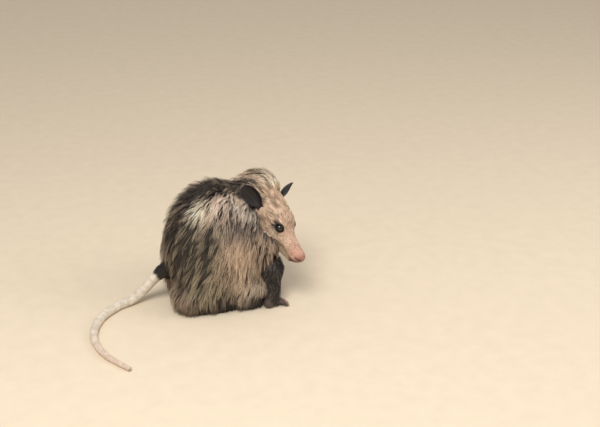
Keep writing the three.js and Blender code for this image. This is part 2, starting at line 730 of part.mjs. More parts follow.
// Trunk, parted into neck, hind legs and torso, each with its own locks
const clearOfHard = (solid) => hard.reduce((rest, other) => rest.subtract(other), solid);
let core = clearOfHard(bodyWhole).subtract(underFloor);
for (const side of [1, -1]) core = core.subtract(footRoom(side));
const coreGrown = grown(bodyWhole, GAP);
const neckNormal = vec(NECK_CUT.normal).normalize();
const neckAt = vec(NECK_CUT.at);
const neckSpace = (back) => halfSpace(neckAt.clone().addScaledVector(neckNormal, -back), neckNormal);
const legSpace = (side, extra) => ovalBlock(THIGH_CUT, side, extra);
const regions = {
  neck: neckSpace(0),
  hind_leg_right: legSpace(-1, 0),
  hind_leg_left: legSpace(1, 0),
};
const regionsGrown = neckSpace(GAP).add(legSpace(-1, GAP)).add(legSpace(1, GAP));
const beyond = {
  neck: coreGrown.subtract(regions.neck),
  hind_leg_right: coreGrown.subtract(regions.hind_leg_right),
  hind_leg_left: coreGrown.subtract(regions.hind_leg_left),
  torso: coreGrown.intersect(regionsGrown),
};

// The node that a lock belongs to: the one that its sunk root lies in
function ownerOf(p) {
  if (p.clone().sub(neckAt).dot(neckNormal) > 0) return "neck";
  for (const [name, side] of Object.entries(sides)) {
    const { at, size } = THIGH_CUT;
    if (ellipsoid(p, beside(at, side), size) < 0) return "hind_leg_" + name;
  }
  return "torso";
}

const roots = lockRoots(bodyWhole);
const lockFloor = halfSpace(atHeight(0.5), downward);

function locksOf(name, extra) {
  const own = roots.filter(({ hold }) => ownerOf(hold) === name);
  const locks = own.map(({ p, shape }) => lockAt(p, shape, extra));
  return wasm.Manifold.union(locks).subtract(lockFloor);
}

const outer = [];
for (const name of ["hind_leg_right", "hind_leg_left", "neck", "torso"]) {
  const own = name === "torso" ? core.subtract(regionsGrown) : core.intersect(regions[name]);
  let locks = clearOfHard(locksOf(name, 0)).subtract(beyond[name]);
  for (const other of outer) locks = locks.subtract(other);
  keep(name, own.add(locks), SKIN.coat);
  if (name !== "torso") outer.push(locksOf(name, GAP), locks);
}

// The scene graph: one named mesh for each node
const opossum = new THREE.Group();
for (const [name, { solid, material }] of nodes) {
  const { vertProperties, triVerts } = largest(solid.simplify(0.05)).getMesh();
  const geometry = new THREE.BufferGeometry();
  geometry.setAttribute("position", new THREE.BufferAttribute(new Float32Array(vertProperties), 3));
  geometry.setIndex(new THREE.BufferAttribute(new Uint32Array(triVerts), 1));
  geometry.computeVertexNormals();
  const mesh = new THREE.Mesh(geometry, material);
  mesh.name = name;
  opossum.add(mesh);
}

export default opossum;
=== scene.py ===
"""A crouching adult Virginia opossum, life size: skin, coat, eyes, feet, ears and tail.

Sizes are in millimetres, and meshes are written in metres. The body's sizes are those of
the solids, apart from the leaf of an ear, which is thinner. x is the way the body faces,
y the animal's left and z up. Places on the head are given in its own axes: back from the
tip of the nose, to the animal's left and up.
"""

import math

import bpy
import numpy as np
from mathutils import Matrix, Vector, kdtree


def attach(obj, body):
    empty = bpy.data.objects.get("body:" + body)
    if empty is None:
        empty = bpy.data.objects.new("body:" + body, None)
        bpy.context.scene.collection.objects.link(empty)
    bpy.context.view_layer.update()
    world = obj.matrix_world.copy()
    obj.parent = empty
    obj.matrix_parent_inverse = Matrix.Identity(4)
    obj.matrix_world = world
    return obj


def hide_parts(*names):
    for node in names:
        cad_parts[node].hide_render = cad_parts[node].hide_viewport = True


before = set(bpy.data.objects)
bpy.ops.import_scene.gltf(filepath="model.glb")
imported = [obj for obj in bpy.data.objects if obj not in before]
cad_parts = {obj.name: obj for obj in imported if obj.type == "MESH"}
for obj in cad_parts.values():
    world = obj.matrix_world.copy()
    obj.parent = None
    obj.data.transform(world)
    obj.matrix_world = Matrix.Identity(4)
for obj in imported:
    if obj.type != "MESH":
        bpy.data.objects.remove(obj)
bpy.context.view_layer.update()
MM = 0.001
SIDES = {1: "left", -1: "right"}
rng = np.random.default_rng(7)

# Trunk, measured to the tips of the coat: centres and half sizes
MIDLINE = -8
HUMP = ((-8, -8, 100), (80, 72, 91))
RUMP = ((-35, -8, 66), (57, 71, 78))
SHOULDER = ((38, -12, 80), (43, 60, 76))
THIGH = ((-18, 37, 34), (70, 40, 54))
ARM = ((50, 42, 92), (31, 29, 37))
BELLY = ((-6, -8, 30), (62, 36, 44))
SKIRTS = [((22, -57, 25), (35, 34, 30)), ((-64, -40, 27), (34, 34, 31))]
SKIN_OFF_FLOOR = 1.6

# How softly the forms run together: inside the trunk, then neck, nape, thighs and hem with
# it, at the tips of the coat and at the skin
TRUNK_JOINS = [(RUMP, 30), (SHOULDER, 30), (BELLY, 12)]
ARM_BLEND = 16
TIPS_BLEND = {"neck": 26, "nape": 26, "thigh": 22, "skirt": 12}
SKIN_BLEND = {"neck": 18, "nape": 14, "thigh": 22, "skirt": 12}

# Depth of the coat over the skin, and how much less it is over the upper arms
COAT_DEPTH = {"trunk": 18, "thigh": 14, "neck": 12, "nape": 20, "skirt": 14, "leg": 2.6, "tail": 3}
NO_DEPTH = dict.fromkeys(COAT_DEPTH, 0)
ARM_THINNER = ((52, 50, 112), (32, 30, 40), 13)

# Head, in degrees for its turns. Rounded forms have a centre and half sizes, and tapered
# ones have their ends and radii
NOSE_TIP = np.array([92.0, -105.0, 83.0])
HEAD_YAW = -68
HEAD_PITCH = 39
HEAD_ROLL = -10
SNOUT = ((14.5, 0, -6.5), (58, 0, -2), 10, 15)
CRANIUM = ((95, 0, 1.5), (38, 25.5, 26.5))
CHEEK = ((84, 13, -9), (25, 15, 19))
JAW = ((16, 0, -16), (74, 0, -20), 7.5, 12.5)
BROW = ((64, 8, 8.5), (12, 8, 8))
CRANIUM_BLEND = 26
JAW_BLEND = 6
NOSE_BLEND = 8
HEAD_PAIRS = [(CHEEK, 14), (BROW, 10)]
NECK = ((121, 0, 10), 33, (38, -8, 118), 54)
NAPE = ((47, -10, 152), (38, 36, 42))

# Fur of the head: its least depth, then how much it gains between two places
FUR_LEAST = 0.1
FUR_GAINS = [(0.8, 12, 40), (2.4, 60, 110)]

# Eyes, nose and mouth. Nostrils have two forms each: ends, radii and softness
EYE = ((56, 14.8, 7.5), 5.8)
EYE_WAY = (-0.3, 0.8, 0.5)
LID = {"thick": 1.2, "long": 6.4, "high": 4.3, "slant": 0.06}
NOSE = ((6.5, 0, -5), 8.2)
NOSE_CUT = 7.5
NOSTRIL = [
    ((-2.0, 3.2, -4.0), (2.7, 7.6, -5.2), 1.8, 1.3, 0.9),
    ((1.7, 6.6, -5.6), (3.2, 8.0, -2.0), 1.0, 0.5, 0.8),
]
PHILTRUM = ((-2.3, 0, -6), (2.5, 0, -13.6), 0.7, 0.7)
MOUTH = ((54, 17, -7), (31, 16, -12), (9, 4, -14))
LIP = {"high": 0.9, "away": 2.6, "spread": 1.5}
MOUTH_GROOVE = 0.9

# Ears: lean is up, outward and back, and the cup opens ahead, outward and up
EAR = {"base": (101, 25.5, 10), "length": 38, "width": 25, "thick": 1.0, "sunk": 6}
EAR_LEAN = {1: (0.15, 0.9, 0.4), -1: (0.34, 0.52, 0.78)}
EAR_OPENS = (0.6, 0.75, 0.15)
EAR_LONG = EAR["length"] + EAR["sunk"]

# Legs and feet
FORELEG = {
    -1: {"shoulder": (48, -46, 84), "elbow": (57, -64, 56), "wrist": (51, -80, 16), "toe": 14},
    1: {"shoulder": (48, 28, 84), "elbow": (55, 34, 56), "wrist": (62, 30, 16), "toe": -4},
}
FORELEG_RADII = (13, 16, 11)
LEG_BLEND = 8
LEG_END = 9
FOREPAW = {"heel": 7, "length": 16, "width": 22, "toe": 12, "radius": 3.0, "fan": 0.34, "pink": 0.9}
HIND = {-1: ((-32, -48), (12, -54)), 1: ((-32, 32), (12, 38))}
HINDFOOT = {"width": 22, "toe": 15, "radius": 3.0, "fan": 0.24, "pink": 0.55}
FOOT_TOP = 26
KNUCKLE_HEIGHT = 6.6
CLAW = {"length": 5, "tip": 0.7, "radii": (1.15, 0.85, 0.2), "sides": 10, "rings": 9}

# Tail
TAIL_POINTS = [
    (-80, -6, 64), (-104, 5, 43), (-121, 12, 22), (-140, 13, 8.6), (-168, 4, 6.5),
    (-200, -22, 6), (-221, -66, 5.3), (-219, -118, 4.3), (-198, -168, 3),
]
TAIL_RADII = [12, 8.4, 7.5, 7.2, 6.8, 6.3, 5.6, 4.6, 3.2]
TAIL_ROOT_SHARE = 0.1
TAIL_SIDES = 32
TAIL_RINGS = 420
TAIL_WHITE = (0.098, 0.116)
SCALE_RINGS = 150
SCALES_AROUND = 22

# Grids that the skin and the feet are drawn from: their steps, how many places are worked
# out at once, and the box of finer steps round the head
SKIN_STEP = 2.6
FACE_STEP = 1.15
FOOT_STEP = 0.9
GRID_PART = 300000
HEAD_LOW, HEAD_HIGH = (30, -110, 74), (104, -8, 172)

TUFTS = {"body": 47000, "head": 15000, "leg": 3200, "tail": 1500}
DENSITY = 1.0
PIECE_LIMIT = 190000

# Tufts of the body, first of guard hair and then of underfur. Levels and pulls are shares
HAIR_LENGTH = ((28, 44), (16, 27))
HAIR_LEVEL = ((0.86, 1.08), (0.4, 0.82))
HAIR_PULL = ((0.4, 0.8), (0.2, 0.6))
HAIR_WIDTH = ((0.55, 0.95), (1.0, 1.7))
HAIR_OFF_FLOOR = 0.9
APRON_LONGER = 9
BLACK_SHARE = 0.1
FLAT_NAPE = ((50, -22, 168), (22, 26, 22))
VALLEY = ((14, -44, 166), (22, 24, 18))
GREY_SHOULDER = ((12, -70, 138), (24, 20, 22))

# Profiles of tufts from root to tip, and their thickness as a share of their width
LONG_PROFILE = (0.7, 1, 0.85, 0.5)
SHORT_PROFILE = (0.8, 1, 0.6)
TUFT_THICK = 0.4

# Dark hair of the forelegs and tail root: its shortest, its longest and its share of grey
LEG_HAIR = (2, (9, 18), 0.3)
LEG_LIE = (-0.15, 0, -1.0)
TAIL_HAIR = (3, (8, 18), 0.05)
DARK_LIFT = (1.5, 5.5)

# Light and camera, in metres
LIGHTS = [
    ("key", (-0.7, -1.0, 1.7), 0.9, 30, (1.0, 0.95, 0.9)),
    ("fill", (1.4, -0.9, 1.1), 1.2, 10, (1.0, 0.97, 0.93)),
]
LIGHT_TARGET = (0, 0, 0.1)
WORLD_LIGHT = ((1.0, 0.96, 0.9, 1), 0.52)
FLOOR_HALF = 20
CAMERA_AT = (-0.5285, -1.4520, 0.8216)
CAMERA_WAY = (0.3784, 0.8303, -0.4094)
CAMERA_LENS = 67.2
CAMERA_SENSOR = 36


# Vectors
def unit(v):
    v = np.asarray(v, float)
    return v / np.maximum(np.linalg.norm(v, axis=-1, keepdims=True), 1e-9)


def smooth(x, low, high):
    t = np.clip((x - low) / (high - low), 0, 1)
    return t * t * (3 - 2 * t)


def band(x, at, spread):
    """1 at a value, falling off on both sides of it."""
    return np.exp(-np.square((x - at) / spread))


def near(p, at, reach):
    """1 at a place, falling off over its reach along each axis."""
    return np.exp(-np.sum(np.square((p - at) / reach), 1))


def near_line(q, line):
    """How far each place is from a row of points."""
    reach = np.full(len(q), 1e3)
    for point in line:
        reach = np.minimum(reach, np.sum(np.square(q - point), 1))
    return np.sqrt(reach)


def mirrored(at, side, middle=0):
    return (at[0], middle + at[1] * side, at[2])


def along_skin(way, n):
    """The part of a way that lies in the surface with normal n."""
    return way - n * np.sum(way * n, 1, keepdims=True)


def spun(v, axis, angle):
    """v turned about a unit axis, row by row."""
    c = np.cos(angle)[:, None]
    s = np.sin(angle)[:, None]
    return v * c + np.cross(axis, v) * s + axis * (np.sum(axis * v, 1, keepdims=True)) * (1 - c)


# The head's own axes
yaw, pitch, roll = (math.radians(a) for a in (HEAD_YAW, HEAD_PITCH, HEAD_ROLL))
AHEAD = np.array([
    math.cos(yaw) * math.cos(pitch), math.sin(yaw) * math.cos(pitch), -math.sin(pitch),
])
level_left = np.array([-math.sin(yaw), math.cos(yaw), 0.0])
LEFT = level_left * math.cos(roll) + np.cross(AHEAD, level_left) * math.sin(roll)
UP = np.cross(AHEAD, LEFT)
HEAD_AXES = np.stack([-AHEAD, LEFT, UP])


def to_head(p):
    return (p - NOSE_TIP) @ HEAD_AXES.T


def from_head(q):
    return NOSE_TIP + np.asarray(q, float) @ HEAD_AXES


# Distance fields, negative inside
def ellipsoid(p, at, size):
    q = p - np.asarray(at, float)
    size = np.asarray(size, float)
    reach = np.sqrt(np.sum(np.square(q / size), 1))
    gain = np.sqrt(np.sum(np.square(q / size**2), 1)) + 1e-9
    return reach * (reach - 1) / gain


def round_cone(p, a, b, ra, rb):
    a = np.asarray(a, float)
    axis = np.asarray(b, float) - a
    q = p - a
    share = np.clip(q @ axis / (axis @ axis), 0, 1)
    return np.sqrt(np.sum(np.square(q - share[:, None] * axis), 1)) - (ra + (rb - ra) * share)


def blend(a, b, k):
    h = np.maximum(k - np.abs(a - b), 0) / k
    return np.minimum(a, b) - h * h * k / 4


def carve(a, b, k):
    """Takes the form b out of a, with a soft edge."""
    h = np.maximum(k - np.abs(a + b), 0) / k
    return np.maximum(a, -b) + h * h * k / 4


def slope(field, p, e=0.5):
    return unit(np.stack([field(p + s) - field(p - s) for s in np.eye(3) * e], 1))


def settle(field, p, rounds=3):
    """Places moved onto the surface where a field is zero."""
    for _ in range(rounds):
        p = p - slope(field, p) * field(p)[:, None]
    return p


def trunk_field(p):
    f = ellipsoid(p, *HUMP)
    for form, soft in TRUNK_JOINS:
        f = blend(f, ellipsoid(p, *form), soft)
    for side in SIDES:
        f = blend(f, ellipsoid(p, mirrored(ARM[0], side, MIDLINE), ARM[1]), ARM_BLEND)
    return f


NECK_TOP = from_head(NECK[0])


def neck_field(p):
    return round_cone(p, NECK_TOP, NECK[2], NECK[1], NECK[3])


def thigh_field(p):
    at, size = THIGH
    return np.minimum(*(ellipsoid(p, mirrored(at, side, MIDLINE), size) for side in SIDES))


def whole_body(p, trunk_depth, depth, soft):
    """Trunk, neck, nape, thighs and hem in one form, each sunk by its depth."""
    f = blend(trunk_field(p) + trunk_depth, neck_field(p) + depth["neck"], soft["neck"])
    f = blend(f, ellipsoid(p, *NAPE) + depth["nape"], soft["nape"])
    f = blend(f, thigh_field(p) + depth["thigh"], soft["thigh"])
    for skirt in SKIRTS:
        f = blend(f, ellipsoid(p, *skirt) + depth["skirt"], soft["skirt"])
    return f


def tips_field(p):
    """Where the tips of the coat lie."""
    return whole_body(p, 0, NO_DEPTH, TIPS_BLEND)


def body_field(p):
    """The skin under the coat of the trunk, neck and thighs."""
    at, reach, less = ARM_THINNER
    q = np.stack([p[:, 0], np.abs(p[:, 1] - MIDLINE), p[:, 2]], 1)
    trunk_depth = COAT_DEPTH["trunk"] - less * near(q, at, reach)
    return np.maximum(whole_body(p, trunk_depth, COAT_DEPTH, SKIN_BLEND), SKIN_OFF_FLOOR - p[:, 2])


def round_leg(p, side):
    leg = FORELEG[side]
    shoulder, elbow, wrist = FORELEG_RADII
    upper = round_cone(p, leg["shoulder"], leg["elbow"], shoulder, elbow)
    lower = round_cone(p, leg["elbow"], leg["wrist"], elbow, wrist)
    return blend(upper, lower, LEG_BLEND) + COAT_DEPTH["leg"]


def leg_field(p, side):
    return np.maximum(round_leg(p, side), LEG_END - p[:, 2])


def skull_field(p):
    """The head to the tips of its short fur, without its openings."""
    q = to_head(p)
    f = round_cone(q, *SNOUT)
    f = blend(f, ellipsoid(q, *CRANIUM), CRANIUM_BLEND)
    f = blend(f, round_cone(q, *JAW), JAW_BLEND)
    f = blend(f, np.linalg.norm(q - NOSE[0], axis=1) - NOSE[1], NOSE_BLEND)
    for side in SIDES:
        for (at, size), soft in HEAD_PAIRS:
            f = blend(f, ellipsoid(q, mirrored(at, side), size), soft)
    return f


def face_fur(q):
    """Depth of the fur on the head, from almost nothing at the nose to the nape."""
    depth = np.full(len(q), FUR_LEAST)
    for gain, start, full in FUR_GAINS:
        depth = depth + gain * smooth(q[:, 0], start, full)
    return depth


def curve_through(points, count):
    """Places along a smooth curve through points."""
    points = np.asarray(points, float)
    ends = np.vstack([2 * points[0] - points[1], points, 2 * points[-1] - points[-2]])
    out = []
    for t in np.linspace(0, len(points) - 1 - 1e-6, count):
        i = int(t)
        u = t - i
        a, b, c, d = ends[i : i + 4]
        bend = (2 * a - 5 * b + 4 * c - d) * u**2
        out.append(0.5 * (2 * b + (c - a) * u + bend + (3 * b - a - 3 * c + d) * u**3))
    return np.array(out)


mouth_sides = [*MOUTH, *[mirrored(a, -1) for a in reversed(MOUTH)]]
MOUTH_LINE = to_head(settle(skull_field, from_head(curve_through(mouth_sides, 70))))


def eye_axes(side):
    """An eye's ways: out of it, along its lids and up across them."""
    out = unit(mirrored(EYE_WAY, side))
    along = unit(np.array([-1.0, 0, 0]) + out * out[0])
    high = np.cross(out, along) * -side
    return out, along, high if high[2] > 0 else -high


def head_field(p):
    """The skin of the head with its lids, nostrils, lips and mouth."""
    q = to_head(p)
    f = skull_field(p) + face_fur(q)
    close = np.flatnonzero((np.abs(f) < 7) & (q[:, 0] < 80))
    r = q[close]
    g = f[close]
    reach = near_line(r, MOUTH_LINE)
    g = g - LIP["high"] * band(reach, LIP["away"], LIP["spread"])
    g = carve(g, reach - MOUTH_GROOVE, 0.8)
    for side in SIDES:
        away = r - mirrored(EYE[0], side)
        out, along, high = eye_axes(side)
        a, b, c = away @ along, away @ high, away @ out
        ball = np.linalg.norm(away, axis=1)
        g = blend(g, ball - EYE[1] - LID["thick"], 3)
        rim = np.abs(b + LID["slant"] * a) - LID["high"] * (1 - np.square(a / LID["long"]))
        g = carve(g, np.maximum(rim, 1 - c), 0.9)
        g = carve(g, ball - EYE[1] + 0.3, 0.3)
        for start, end, ra, rb, soft in NOSTRIL:
            g = carve(g, round_cone(r, mirrored(start, side), mirrored(end, side), ra, rb), soft)
    f[close] = carve(g, round_cone(r, *PHILTRUM), 0.9)
    return f


TAIL_LINE = curve_through(TAIL_POINTS, TAIL_RINGS)
ROOT_END = TAIL_LINE[round((TAIL_RINGS - 1) * 0.9 * TAIL_ROOT_SHARE)]


def ear_axes(side):
    """An ear's root and its ways: along the leaf, across it and out of its open side."""
    out = LEFT * side
    up, outward, back = EAR_LEAN[side]
    along = unit(UP * up + out * outward - AHEAD * back)
    open_way = AHEAD * EAR_OPENS[0] + out * EAR_OPENS[1] + UP * EAR_OPENS[2]
    open_way = unit(open_way - along * (open_way @ along))
    root = from_head(mirrored(EAR["base"], side)) - along * EAR["sunk"]
    return root, along, np.cross(along, open_way), open_way


def ear_room(p, ahead=18, front=0.0):
    """1 in the open cup of an ear, 0 well outside it."""
    room = np.zeros(len(p))
    for side in SIDES:
        root, along, across, open_way = ear_axes(side)
        away = p - root
        v = away @ along / EAR_LONG
        u = away @ across / (EAR["width"] / 2)
        u = np.where(u * (across @ AHEAD) > 0, np.abs(u) + front, np.abs(u))
        w = away @ open_way
        inside = smooth(v, 0.0, 0.12) * (1 - smooth(v, 0.86, 1.0)) * (1 - smooth(u, 0.9, 1.15))
        inside = inside * smooth(w, -9, -6) * (1 - smooth(w, ahead, ahead + 8))
        room = np.maximum(room, inside)
    return room


def tail_root_field(p):
    root = round_cone(p, TAIL_POINTS[0], ROOT_END, TAIL_RADII[0], TAIL_RADII[1] + 1)
    return root + COAT_DEPTH["tail"]


def skin_field(p):
    f = blend(body_field(p), head_field(p), 5) + 7 * ear_room(p, 12)
    f = blend(f, tail_root_field(p), 8)
    for side in SIDES:
        f = blend(f, leg_field(p, side), 8)
    return f


# Closed surfaces from fields
def steps(*stops):
    """Grid places: pairs of (until, step) after a start."""
    places = [float(stops[0])]
    for until, step in stops[1:]:
        count = max(1, round((until - places[-1]) / step))
        places += list(np.linspace(places[-1], until, count + 1)[1:])
    return np.array(places)


CORNERS = np.array([(a, b, c) for a in (0, 1) for b in (0, 1) for c in (0, 1)])
EDGES = [
    (i, j) for i in range(8) for j in range(i + 1, 8) if np.abs(CORNERS[i] - CORNERS[j]).sum() == 1
]


def surface(field, xs, ys, zs):
    """Vertices, normals and quads of the surface where a field is zero."""
    axes = (xs, ys, zs)
    grid = np.stack(np.meshgrid(*axes, indexing="ij"), -1).reshape(-1, 3)
    shape = tuple(len(a) for a in axes)
    parts = np.array_split(grid, len(grid) // GRID_PART + 1)
    value = np.concatenate([field(part) for part in parts]).reshape(shape)
    inside = value < 0
    cells = tuple(n - 1 for n in shape)
    count = np.zeros(cells, np.int8)
    for a, b, c in CORNERS:
        count += inside[a : a + cells[0], b : b + cells[1], c : c + cells[2]]
    active = np.argwhere((count > 0) & (count < 8))
    total = np.zeros((len(active), 3))
    hits = np.zeros(len(active))
    for i, j in EDGES:
        one = active + CORNERS[i]
        two = active + CORNERS[j]
        va = value[tuple(one.T)]
        vb = value[tuple(two.T)]
        cross = (va < 0) != (vb < 0)
        share = np.where(cross, va / np.where(cross, va - vb, 1), 0)[:, None]
        pa = np.stack([axes[k][one[:, k]] for k in range(3)], 1)
        pb = np.stack([axes[k][two[:, k]] for k in range(3)], 1)
        total += np.where(cross[:, None], pa + (pb - pa) * share, 0)
        hits += cross
    points = total / hits[:, None]
    lookup = np.full(cells, -1, np.int64)
    lookup[tuple(active.T)] = np.arange(len(active))
    quads = []
    for axis in range(3):
        step, u, v = (np.eye(3, dtype=int)[(axis + k) % 3] for k in range(3))
        low = inside[tuple(slice(0, n - s) for n, s in zip(shape, step))]
        high = inside[tuple(slice(s, n) for n, s in zip(shape, step))]
        for flip, change in ((False, low & ~high), (True, ~low & high)):
            at = np.argwhere(change)
            at = at[np.all(at - u - v >= 0, 1) & np.all(at < np.array(cells), 1)]
            turns = ((1, 1), (0, 1), (0, 0), (1, 0))
            ring = np.stack([lookup[tuple((at - u * a - v * b).T)] for a, b in turns], 1)
            quads.append(ring[:, ::-1] if flip else ring)
    quads = np.concatenate(quads)
    quads = quads[np.all(quads >= 0, 1)]
    points = settle(field, points, rounds=2)
    return points, slope(field, points, 0.6), quads


# Meshes
def add_object(name, data):
    obj = bpy.data.objects.new(name, data)
    bpy.context.scene.collection.objects.link(obj)
    return obj


def make_mesh(name, points, faces, normals=None, colours=None, uvs=None, uv_name="UVMap"):
    """A mesh from arrays in millimetres. faces is a list of arrays of equal-sided polygons."""
    mesh = bpy.data.meshes.new(name)
    sizes = np.concatenate([np.full(len(f), f.shape[1]) for f in faces])
    loops = np.concatenate([f.ravel() for f in faces]).astype(np.int32)
    mesh.vertices.add(len(points))
    mesh.vertices.foreach_set("co", (points * MM).astype(np.float32).ravel())
    mesh.loops.add(len(loops))
    mesh.loops.foreach_set("vertex_index", loops)
    mesh.polygons.add(len(sizes))
    starts = np.concatenate([[0], np.cumsum(sizes)[:-1]]).astype(np.int32)
    mesh.polygons.foreach_set("loop_start", starts)
    mesh.update(calc_edges=True)
    mesh.validate()
    mesh.polygons.foreach_set("use_smooth", np.ones(len(sizes), bool))
    if colours is not None:
        layer = mesh.color_attributes.new("tone", "FLOAT_COLOR", "POINT")
        rgba = np.ones((len(points), 4), np.float32)
        rgba[:, :3] = colours
        layer.data.foreach_set("color", rgba.ravel())
    if uvs is not None:
        layer = mesh.uv_layers.new(name=uv_name)
        layer.data.foreach_set("uv", uvs[loops].astype(np.float32).ravel())
    if normals is not None:
        mesh.normals_split_custom_set_from_vertices(normals.astype(np.float32))
    return add_object(name, mesh)


def place(obj, material):
    obj.data.materials.append(material)
    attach(obj, "root")
    return obj


def ring_corners(rings, sides):
    """Two neighbours on each ring of vertices but the last, for the quads that start there."""
    index = np.arange(rings * sides).reshape(rings, sides)
    return index[:-1].ravel(), np.roll(index, -1, 1)[:-1].ravel()


def fan(centre, one, two):
    """Triangles from one vertex to the edges of a ring."""
    return np.stack([np.full(len(one), centre), one, two], 1)


def sphere(sides, rows):
    """A ball of radius 1: points, quads and the triangles at its ends."""
    turn = np.linspace(0, 2 * np.pi, sides, endpoint=False)
    tilt = np.linspace(0, np.pi, rows + 2)[1:-1]
    ball = np.stack([
        np.outer(np.sin(tilt), np.cos(turn)), np.outer(np.sin(tilt), np.sin(turn)),
        np.outer(np.cos(tilt), np.ones(sides)),
    ], -1).reshape(-1, 3)
    ball = np.vstack([ball, (0, 0, 1), (0, 0, -1)])
    a, b = ring_corners(rows, sides)
    j = np.arange(sides)
    after = (j + 1) % sides
    last = (rows - 1) * sides
    caps = [fan(len(ball) - 2, j, after), fan(len(ball) - 1, last + after, last + j)]
    return ball, np.stack([a, a + sides, b + sides, b], 1), np.concatenate(caps)


def tube(points, radii, sides, rings):
    """A closed round tube along a level curve: points, quads, end triangles, share and turn."""
    path = curve_through(points, rings)
    radius = np.interp(np.linspace(0, len(radii) - 1, rings), np.arange(len(radii)), radii)
    way = unit(np.gradient(path, axis=0))
    across = unit(np.cross(way, (0, 0, 1.0)))
    other = np.cross(across, way)
    turn = np.linspace(0, 2 * np.pi, sides, endpoint=False)
    around = np.cos(turn)[None, :, None] * across[:, None]
    around = around + np.sin(turn)[None, :, None] * other[:, None]
    body = (path[:, None] + around * radius[:, None, None]).reshape(-1, 3)
    ends = np.array([path[0] - way[0] * radius[0] * 0.4, path[-1] + way[-1] * radius[-1] * 0.6])
    verts = np.concatenate([body, ends])
    a, b = ring_corners(rings, sides)
    quads = np.stack([a + sides, b + sides, b, a], 1)
    j = np.arange(sides)
    after = (j + 1) % sides
    last = (rings - 1) * sides
    caps = np.concatenate([fan(len(body), after, j), fan(len(body) + 1, last + j, last + after)])
    caps = caps[:, ::-1]
    share = np.concatenate([np.repeat(np.linspace(0, 1, rings), sides), [0, 1]])
    spin = np.concatenate([np.tile(turn / (2 * np.pi), rings), [0, 0]])
    return verts, quads, caps, share, spin


# Colours, as seen on a screen
def tone(red, green, blue):
    c = np.array([red, green, blue]) / 255
    return np.where(c <= 0.04045, c / 12.92, ((c + 0.055) / 1.055) ** 2.4)


CHARCOAL = tone(38, 33, 31)
SOOT = tone(62, 54, 48)
TAN = tone(228, 196, 168)
SAND = tone(222, 192, 166)
ROSE = tone(240, 214, 194)
CREAM = tone(236, 222, 202)
WHITE = tone(240, 234, 220)
PINK = tone(198, 148, 132)
RED = tone(126, 74, 66)
SNOUT_SHADE = tone(92, 50, 44)
GREY = tone(122, 108, 104)
OLIVE = tone(148, 136, 112)
UMBER = tone(104, 88, 78)
INK = tone(16, 13, 13)
PAW_DARK = tone(74, 62, 60)
PAW_PINK = tone(186, 138, 122)

# Marks on the coat: place on the right side, reach, colour, how strong, share of pale hair
MARKS = [
    ((-66, -64, 96), (42, 50, 60), OLIVE, 1.0, 0.18),
    ((-34, -80, 112), (20, 24, 26), OLIVE, 0.8, 0.14),
    ((-64, -70, 118), (24, 26, 24), tone(128, 116, 94), 0.9, 0.06),
    ((-12, -48, 168), (34, 18, 24), ROSE, 0.95, 0.95),
    ((4, -80, 98), (30, 30, 34), TAN, 0.95, 0.85),
    ((-22, -86, 66), (16, 22, 24), tone(160, 134, 112), 0.6, 0.45),
    ((-44, -84, 40), (26, 22, 26), tone(176, 166, 138), 0.85, 0.28),
    ((10, -72, 138), (24, 16, 16), GREY, 0.85, 0.3),
    ((40, -70, 122), (18, 20, 22), tone(150, 132, 122), 0.7, 0.5),
    ((-52, -41, 165), (14, 18, 14), tone(255, 247, 220), 1.0, 1.0),
    ((-84, -56, 21), (24, 22, 22), tone(206, 176, 156), 0.85, 0.7),
    # The two umber marks by the floor: dark underfur of the hem, and in part painted shade where
    # the coat meets the floor
    ((-30, -88, 16), (40, 24, 20), UMBER, 1.0, 0.16),
    ((20, -90, 19), (32, 26, 22), UMBER, 1.0, 0.1),
    ((20, -84, 36), (24, 20, 30), tone(206, 186, 164), 0.7, 0.36),
    ((54, -74, 88), (16, 22, 26), tone(186, 158, 138), 0.8, 0.62),
    # The two soot marks: dark hair of the neck, and in part painted shade in the crease between
    # neck and shoulder
    ((-9, -38, 183), (13, 7, 7), SOOT, 0.9, 0.1),
    ((6, -52, 169), (12, 6, 9), SOOT, 0.9, 0.1),
    ((4, -46, 177), (7, 4, 5), WHITE, 0.6, 0.8),
    ((15, -55, 165), (12, 7, 9), WHITE, 0.75, 0.9),
    ((31, -61, 149), (12, 8, 10), WHITE, 0.75, 0.9),
    ((44, -30, 186), (26, 26, 16), SAND, 0.95, 0.95),
    ((70, -40, 180), (20, 26, 22), tone(242, 214, 184), 0.98, 1.0),
]
COAT_TONE = tone(164, 146, 124)
PALE_SHARE = 0.42
BACK_TONE = tone(132, 114, 98)


def coat_marks(p):
    """Colour of the pale hair and the share of it, at a place on the body."""
    q = p.copy()
    q[:, 1] = MIDLINE - np.abs(p[:, 1] - MIDLINE)
    colour = np.tile(COAT_TONE, (len(p), 1))
    share = np.full(len(p), PALE_SHARE)
    for at, size, mark, strength, pale in MARKS:
        w = strength * near(q, at, size)
        colour = colour + (mark - colour) * w[:, None]
        share = share + (pale - share) * w
    x, y, z = q.T
    # Darker along the spine and the back of the rump, with fewer pale hairs: the dark fur of the
    # spine, and in part painted shade
    ridge = 1 - smooth(MIDLINE - y, 14, 34)
    dark = ridge * smooth(z, 95, 150) * (1 - 0.75 * smooth(x, 20, 45))
    dark = np.maximum(dark, 0.8 * smooth(-x, 66, 88) * smooth(z, 30, 60))
    colour = colour + (BACK_TONE - colour) * dark[:, None] * 0.85
    share = share * (1 - 0.6 * dark)
    chest = smooth(x, 52, 80) * (1 - smooth(-y, 40, 60))
    colour = colour + (CREAM - colour) * chest[:, None] * 0.5
    return colour, share


